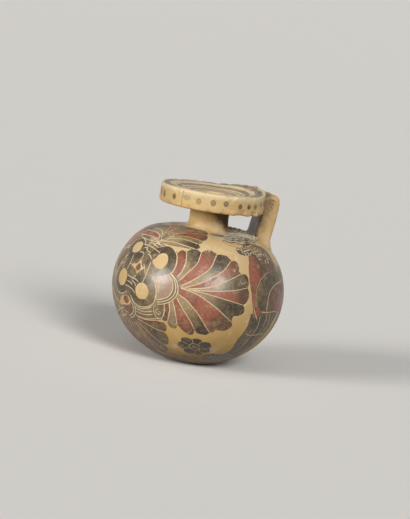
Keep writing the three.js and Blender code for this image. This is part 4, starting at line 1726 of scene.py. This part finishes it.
# Grains of lime crust, scattered along a path and sunk a little into the clay
def crustTree():
    tree, given, out = startTree("crust", [("Clay", "Object"), ("Count", "Int"),
                                           ("Spread", "Vector"), ("Smallest", "Float"),
                                           ("Largest", "Float"), ("Seed", "Int"),
                                           ("Look", "Material")])
    line = addNode(tree, "GeometryNodeMeshToCurve", {"Mesh": given["Geometry"]})[0]
    spots = addNode(tree, "GeometryNodeCurveToPoints", {"Curve": line, "Count": given["Count"]},
                    {"mode": "COUNT"})["Points"]
    chance, spin = (addNode(tree, "FunctionNodeRandomValue", {
        0: (low, low, low), 1: (high, high, high), "Seed": given["Seed"]},
        {"data_type": "FLOAT_VECTOR"})[0] for low, high in ((-1, 1), (0, 6.28)))
    cubed = vectorMath(tree, "MULTIPLY", chance, vectorMath(tree, "MULTIPLY", chance, chance))
    strewn = addNode(tree, "GeometryNodeSetPosition", {
        "Geometry": spots, "Offset": vectorMath(tree, "MULTIPLY", cubed, given["Spread"])})[0]
    clay = addNode(tree, "GeometryNodeObjectInfo", {"Object": given["Clay"]})["Geometry"]
    near = addNode(tree, "GeometryNodeProximity", {0: clay}, {"target_element": "FACES"})
    seated = addNode(tree, "GeometryNodeSetPosition", {"Geometry": strewn,
                                                       "Position": near["Position"]})[0]
    grain = addNode(tree, "GeometryNodeMeshIcoSphere", {"Radius": 1.0, "Subdivisions": 2})["Mesh"]
    dice = addNode(tree, "FunctionNodeRandomValue", {2: 0.0, 3: 1.0, "Seed": given["Seed"]},
                   {"data_type": "FLOAT"})[1]
    rare = addNode(tree, "ShaderNodeMath", {0: dice, 1: 3.0}, {"operation": "POWER"})[0]
    size = spread(tree, rare, given["Smallest"], given["Largest"])
    even = addNode(tree, "ShaderNodeCombineXYZ", {0: size, 1: size, 2: size})[0]
    placed = addNode(tree, "GeometryNodeInstanceOnPoints", {
        "Points": seated, "Instance": grain, "Rotation": spin,
        "Scale": vectorMath(tree, "MULTIPLY", even, (1.5, 1, 0.7))})[0]
    real = addNode(tree, "GeometryNodeRealizeInstances", {"Geometry": placed})[0]
    lumpy = roughened(tree, real, 2600.0, 1.0, given["Smallest"])
    dressed = addNode(tree, "GeometryNodeSetMaterial", {"Geometry": lumpy,
                                                        "Material": given["Look"]})[0]
    tree.links.new(dressed, out[0])
    return tree


def rimPath(begin, end, radius, height):
    return around(radius, np.radians(np.arange(begin, end, 4)), height)


def crustBed(clay, path, grains, spread, smallest, largest, look=crustLime):
    return {"clay": clay, "path": path, "grains": grains, "spread": spread,
            "smallest": smallest, "largest": largest, "look": look}


# where the crust lies: clay, path, number of grains, spread, smallest and largest grain
crustBeds = {
    "rim_crust_back": crustBed(
        plateSkin, rimPath(84, 240, 21.5, 73.5), 1100, (0.9, 0.9, 0.7), 0.07, 0.32),
    "rim_crust_right": crustBed(
        plateSkin, rimPath(70, 132, 20.9, 73.7), 420, (1.5, 1.5, 0.5), 0.08, 0.30),
    "mouth_crust": crustBed(
        plateSkin, rimPath(150, 262, 17.6, 72.6), 260, (3.0, 3.0, 0.5), 0.05, 0.22),
    "shoulder_crust": crustBed(bodySkin, [
        (-10, 11.8, 55.2), (-7.6, 15.4, 55), (-4.4, 18.6, 54.6), (-1.6, 20.4, 54.4),
        (2.6, 22.0, 54.0)], 300, (1.7, 1.7, 0.6), 0.25, 1.0),
    # Dark lumps behind the light crest: painted shade on the shoulder's far slope by the handle.
    "soot_crust": crustBed(bodySkin, [
        (-12.6, 11.0, 55.2), (-11.2, 14.0, 55.2), (-8.4, 17.4, 55), (-6.4, 19.4, 54.8)],
        200, (1.0, 1.0, 0.4), 0.4, 1.05, brownSlip),
    "foot_crust": crustBed(bodySkin, [
        (3.4, 20.4, 54.3), (6.4, 21.2, 53.8), (8.4, 22.6, 53.0), (10.0, 24.4, 51.8)],
        200, (1.3, 1.3, 0.6), 0.15, 0.55),
    "root_crust": crustBed(handleSkin, [
        (-8, 15.8, 55.6), (-4.5, 16.2, 55.4), (-1, 16.6, 55.2), (2.5, 17, 55), (5.5, 17.6, 54.7),
        (8, 18.6, 54.6)], 300, (1.4, 1.2, 0.4), 0.2, 0.7),
    "shelf_crust": crustBed(bodySkin, [
        (-5, 10.6, 55.6), (0, 11.6, 55.6), (3.6, 12.6, 55.4), (6.6, 14.4, 55), (8.8, 16.6, 54.4)],
        420, (3.0, 3.0, 0.4), 0.12, 0.6),
}
slots = {plateSkin: "dotted_clay", bodySkin: "painted_clay", handleSkin: "plain_clay"}


def makeCrust():
    tree = crustTree()
    for number, (name, bed) in enumerate(crustBeds.items()):
        clay, path = bed["clay"], bed["path"]
        edges = [(i, i + 1) for i in range(len(path) - 1)]
        values = {"Clay": clay, "Count": bed["grains"], "Seed": 5 + number, "Look": bed["look"],
                  "Spread": tuple(v * mm for v in bed["spread"]),
                  "Smallest": bed["smallest"] * mm, "Largest": bed["largest"] * mm}
        piece = treeMesh(name, tree, path, edges, values)
        seat(piece, slots[clay])


makeCrust()
print("crust made")

crack = {
    "line": [  # degrees round the rim, height
        (-50.8, 72.3), (-51.3, 71.2), (-50.9, 69.8), (-51.5, 68.2), (-51.0, 66.6), (-51.4, 65.4),
    ],
    "width": 0.20,
    "lift": 0.02,
    "from": 30,
}


def makeCrack():
    run = smoothRun([(math.radians(a) * plateRadius, z) for a, z in crack["line"]], 0.35)
    flat = bandRows(run, crack["width"], 0.5)
    turn = flat[..., 0] / plateRadius
    rows, way = around(crack["from"], turn, flat[..., 1]), around(-1, turn, 0)
    strokeOn("rim_crack", plateSkin, rows[:, ::-1], way[:, ::-1], 0.0, brownSlip, "dotted_clay",
             lift=crack["lift"])


makeCrack()

# Strokes on the side of the handle, given in (y, z), and the dark slip on its inner side,
# which is partly painted shade of the gap between handle and neck
handlePaint = {
    "strokes": [
        [(20.4, 70.6), (20.2, 69.4), (20.5, 68.0), (21.0, 66.9)],
        [(21.3, 71.3), (21.0, 70.0), (21.2, 68.6), (21.8, 67.3)],
        [(21.6, 72.1), (22.7, 72.4), (23.7, 72.2)],
        [(21.9, 71.2), (23.2, 71.5), (25.0, 71.1)],
        [(22.2, 70.2), (23.4, 70.2), (24.7, 69.5)],
        [(22.0, 69.3), (23.1, 68.8), (24.6, 67.8)],
        [(22.1, 68.2), (22.8, 67.4), (23.3, 66.3)],
    ],
    "width": 0.52,
    "blunt": 0.7,
    "dry": 0.4,
    "from": 12.0,
    "innerTop": 65.3,
    "innerFoot": 54.75,
    "innerHalf": 6.1,
    "innerStep": 0.45,
    "innerColumns": 22,
    "sideWaver": (5, 0.25, 33),  # wavelength, height, seed
    "endWaver": (4, 0.3, 34),
    "flare": 1.7,
    "flareTop": 57.5,
    "flareHeight": 2.6,
}


def makeHandlePaint():
    look = handlePaint
    for number, line in enumerate(look["strokes"]):
        run = smoothRun(line, 0.3)
        rows = bandRows(run, look["width"], look["blunt"])
        for side, word in ((1, "right"), (-1, "left")):
            grid = np.concatenate([np.full((*rows.shape[:2], 1), look["from"] * side), rows], -1)
            grid = grid if side > 0 else grid[:, ::-1]
            way = np.array([-1.0 * side, 0, 0])
            strokeOn(f"handle_stroke_{word}_{number + 1}", handleSkin, grid, way, look["dry"],
                     brownSlip, "plain_clay")
    # Dark brown slip on the strap's inner face, wider at the foot: partly painted shade in the gap.
    height = np.arange(look["innerTop"], look["innerFoot"], -look["innerStep"])
    across = np.linspace(-look["innerHalf"], look["innerHalf"], look["innerColumns"])
    ragged = waver(np.stack([height * 0, height * 0, height], -1), *look["sideWaver"])
    grow = look["flare"] / look["innerHalf"]
    wider = 1 + grow * eased((look["flareTop"] - height) / look["flareHeight"])
    x = across[None, :] * wider[:, None] + ragged[:, None] * np.sign(across)
    ends = waver(np.stack([across, across * 0, across * 0], -1), *look["endWaver"])
    z = height[:, None] + ends[None, :]
    grid = np.stack([x, np.full(x.shape, look["from"]), z], -1)
    strokeOn("handle_inner_slip", handleSkin, grid, np.array([0, 1.0, 0]), 0.0, brownSlip,
             "plain_clay")


makeHandlePaint()
print("handle painted")

# Stage, lights and camera, all placed round the flask's box
studio = {
    "tilt": math.radians(9),
    "angle": math.radians(-18),
    "rise": math.radians(8),
    "distance": 0.9,
    "sensor": 36,
    "pixel": 72 / 173 * mm,
    "pictureSize": (410, 519),
    "bodyPixel": (198, 287.8),
    "floor": (0.93, 0.92, 0.90),
    "floorGrain": (0.7, 0.69, 0.67),
    "floorBounce": (0.11, 0.080, 0.050),
    "backdrop": (0.60, 0.59, 0.565),
    "fill": (1.0, 0.98, 0.95),
    "fillStrength": 0.09,
    "lampColour": (1.0, 0.98, 0.95),
    "paperSize": 60000,
    "paperLevel": -0.02,
    "lamps": [  # name, degrees round the flask, rise, how wide it looks, strength
        ("window_left", -72, 15, 23, 2.2), ("window_right", 6, 30, 24, 2.05),
        ("front_fill", -30, 8, 60, 0.40), ("top_fill", -40, 76, 40, 0.12),
    ],
}


def aimed(angle, rise):
    level = math.cos(rise)
    return Vector((math.cos(angle) * level, math.sin(angle) * level, math.sin(rise)))


def makeCamera():
    look = studio
    back = aimed(look["angle"], look["rise"])
    right = Vector((-math.sin(look["angle"]), math.cos(look["angle"]), 0))
    up = back.cross(right)
    cosTilt, sinTilt = math.cos(look["tilt"]), math.sin(look["tilt"])
    across = right * cosTilt + up * sinTilt
    upward = up * cosTilt - right * sinTilt
    wide, high = look["pictureSize"]
    offX = wide / 2 - look["bodyPixel"][0]
    offY = look["bodyPixel"][1] - high / 2
    target = Vector((0, 0, bodyCentre * mm)) + (across * offX + upward * offY) * look["pixel"]
    data = bpy.data.cameras.new("camera")
    data.sensor_width = look["sensor"]
    data.lens = look["sensor"] * look["distance"] / look["pixel"] / max(wide, high)
    data.clip_start = 0.01
    camera = bpy.data.objects.new("camera", data)
    camera.matrix_world = Matrix.Translation(target + back * look["distance"]) @ Matrix(
        (across, upward, back)).transposed().to_4x4()
    bpy.context.scene.collection.objects.link(camera)
    bpy.context.scene.camera = camera


# A soft lamp far away: degrees round the flask, rise, how wide it looks, strength
def makeLamp(name, degrees, rise, wide, strength):
    data = bpy.data.lights.new(name, "SUN")
    data.energy = strength
    data.angle = math.radians(wide)
    data.color = studio["lampColour"]
    way = aimed(math.radians(degrees), math.radians(rise))
    lamp = bpy.data.objects.new(name, data)
    lamp.location = way
    lamp.rotation_euler = way.to_track_quat("Z", "Y").to_euler()
    bpy.context.scene.collection.objects.link(lamp)


# Rays that show the pale floor and backdrop, straight or mirrored, and throw no light on the flask
def seenRays(tree):
    path = addNode(tree, "ShaderNodeLightPath")
    mirrored = sums(tree, "ADD", path["Is Glossy Ray"], path["Is Transmission Ray"])
    return sums(tree, "ADD", path["Is Camera Ray"], mirrored)


def makeStage():
    look = studio
    material, tree, place = startMaterial("floor_paper")
    grain = sums(tree, "MULTIPLY", noiseAt(tree, place, 40, 2), 0.05)
    pale = blendColour(tree, grain, look["floor"], look["floorGrain"])
    seen = blendColour(tree, seenRays(tree), look["floorBounce"], pale)
    finishMaterial(tree, {"Base Color": seen, "Roughness": 0.9})
    side, level = look["paperSize"], look["paperLevel"]
    corners = [(-side, -side, level), (side, -side, level), (side, side, level),
               (-side, side, level)]
    makeMesh("floor", corners, [(0, 1, 2, 3)], material)
    world = bpy.data.worlds.new("studio")
    bpy.context.scene.world = world
    world.use_nodes = True
    tree = world.node_tree
    tree.nodes.clear()
    lights = ((look["fill"], look["fillStrength"]), (look["backdrop"], 1.0))
    fill, backdrop = (addNode(tree, "ShaderNodeBackground", {
        "Color": (*colour, 1), "Strength": power})[0] for colour, power in lights)
    mix = addNode(tree, "ShaderNodeMixShader", {"Fac": seenRays(tree), 1: fill, 2: backdrop})[0]
    addNode(tree, "ShaderNodeOutputWorld", {"Surface": mix})


makeStage()
makeCamera()
for name, degrees, rise, wide, strength in studio["lamps"]:
    makeLamp(name, degrees, rise, wide, strength)
bpy.context.scene.view_settings.view_transform = "Standard"
print("stage made")
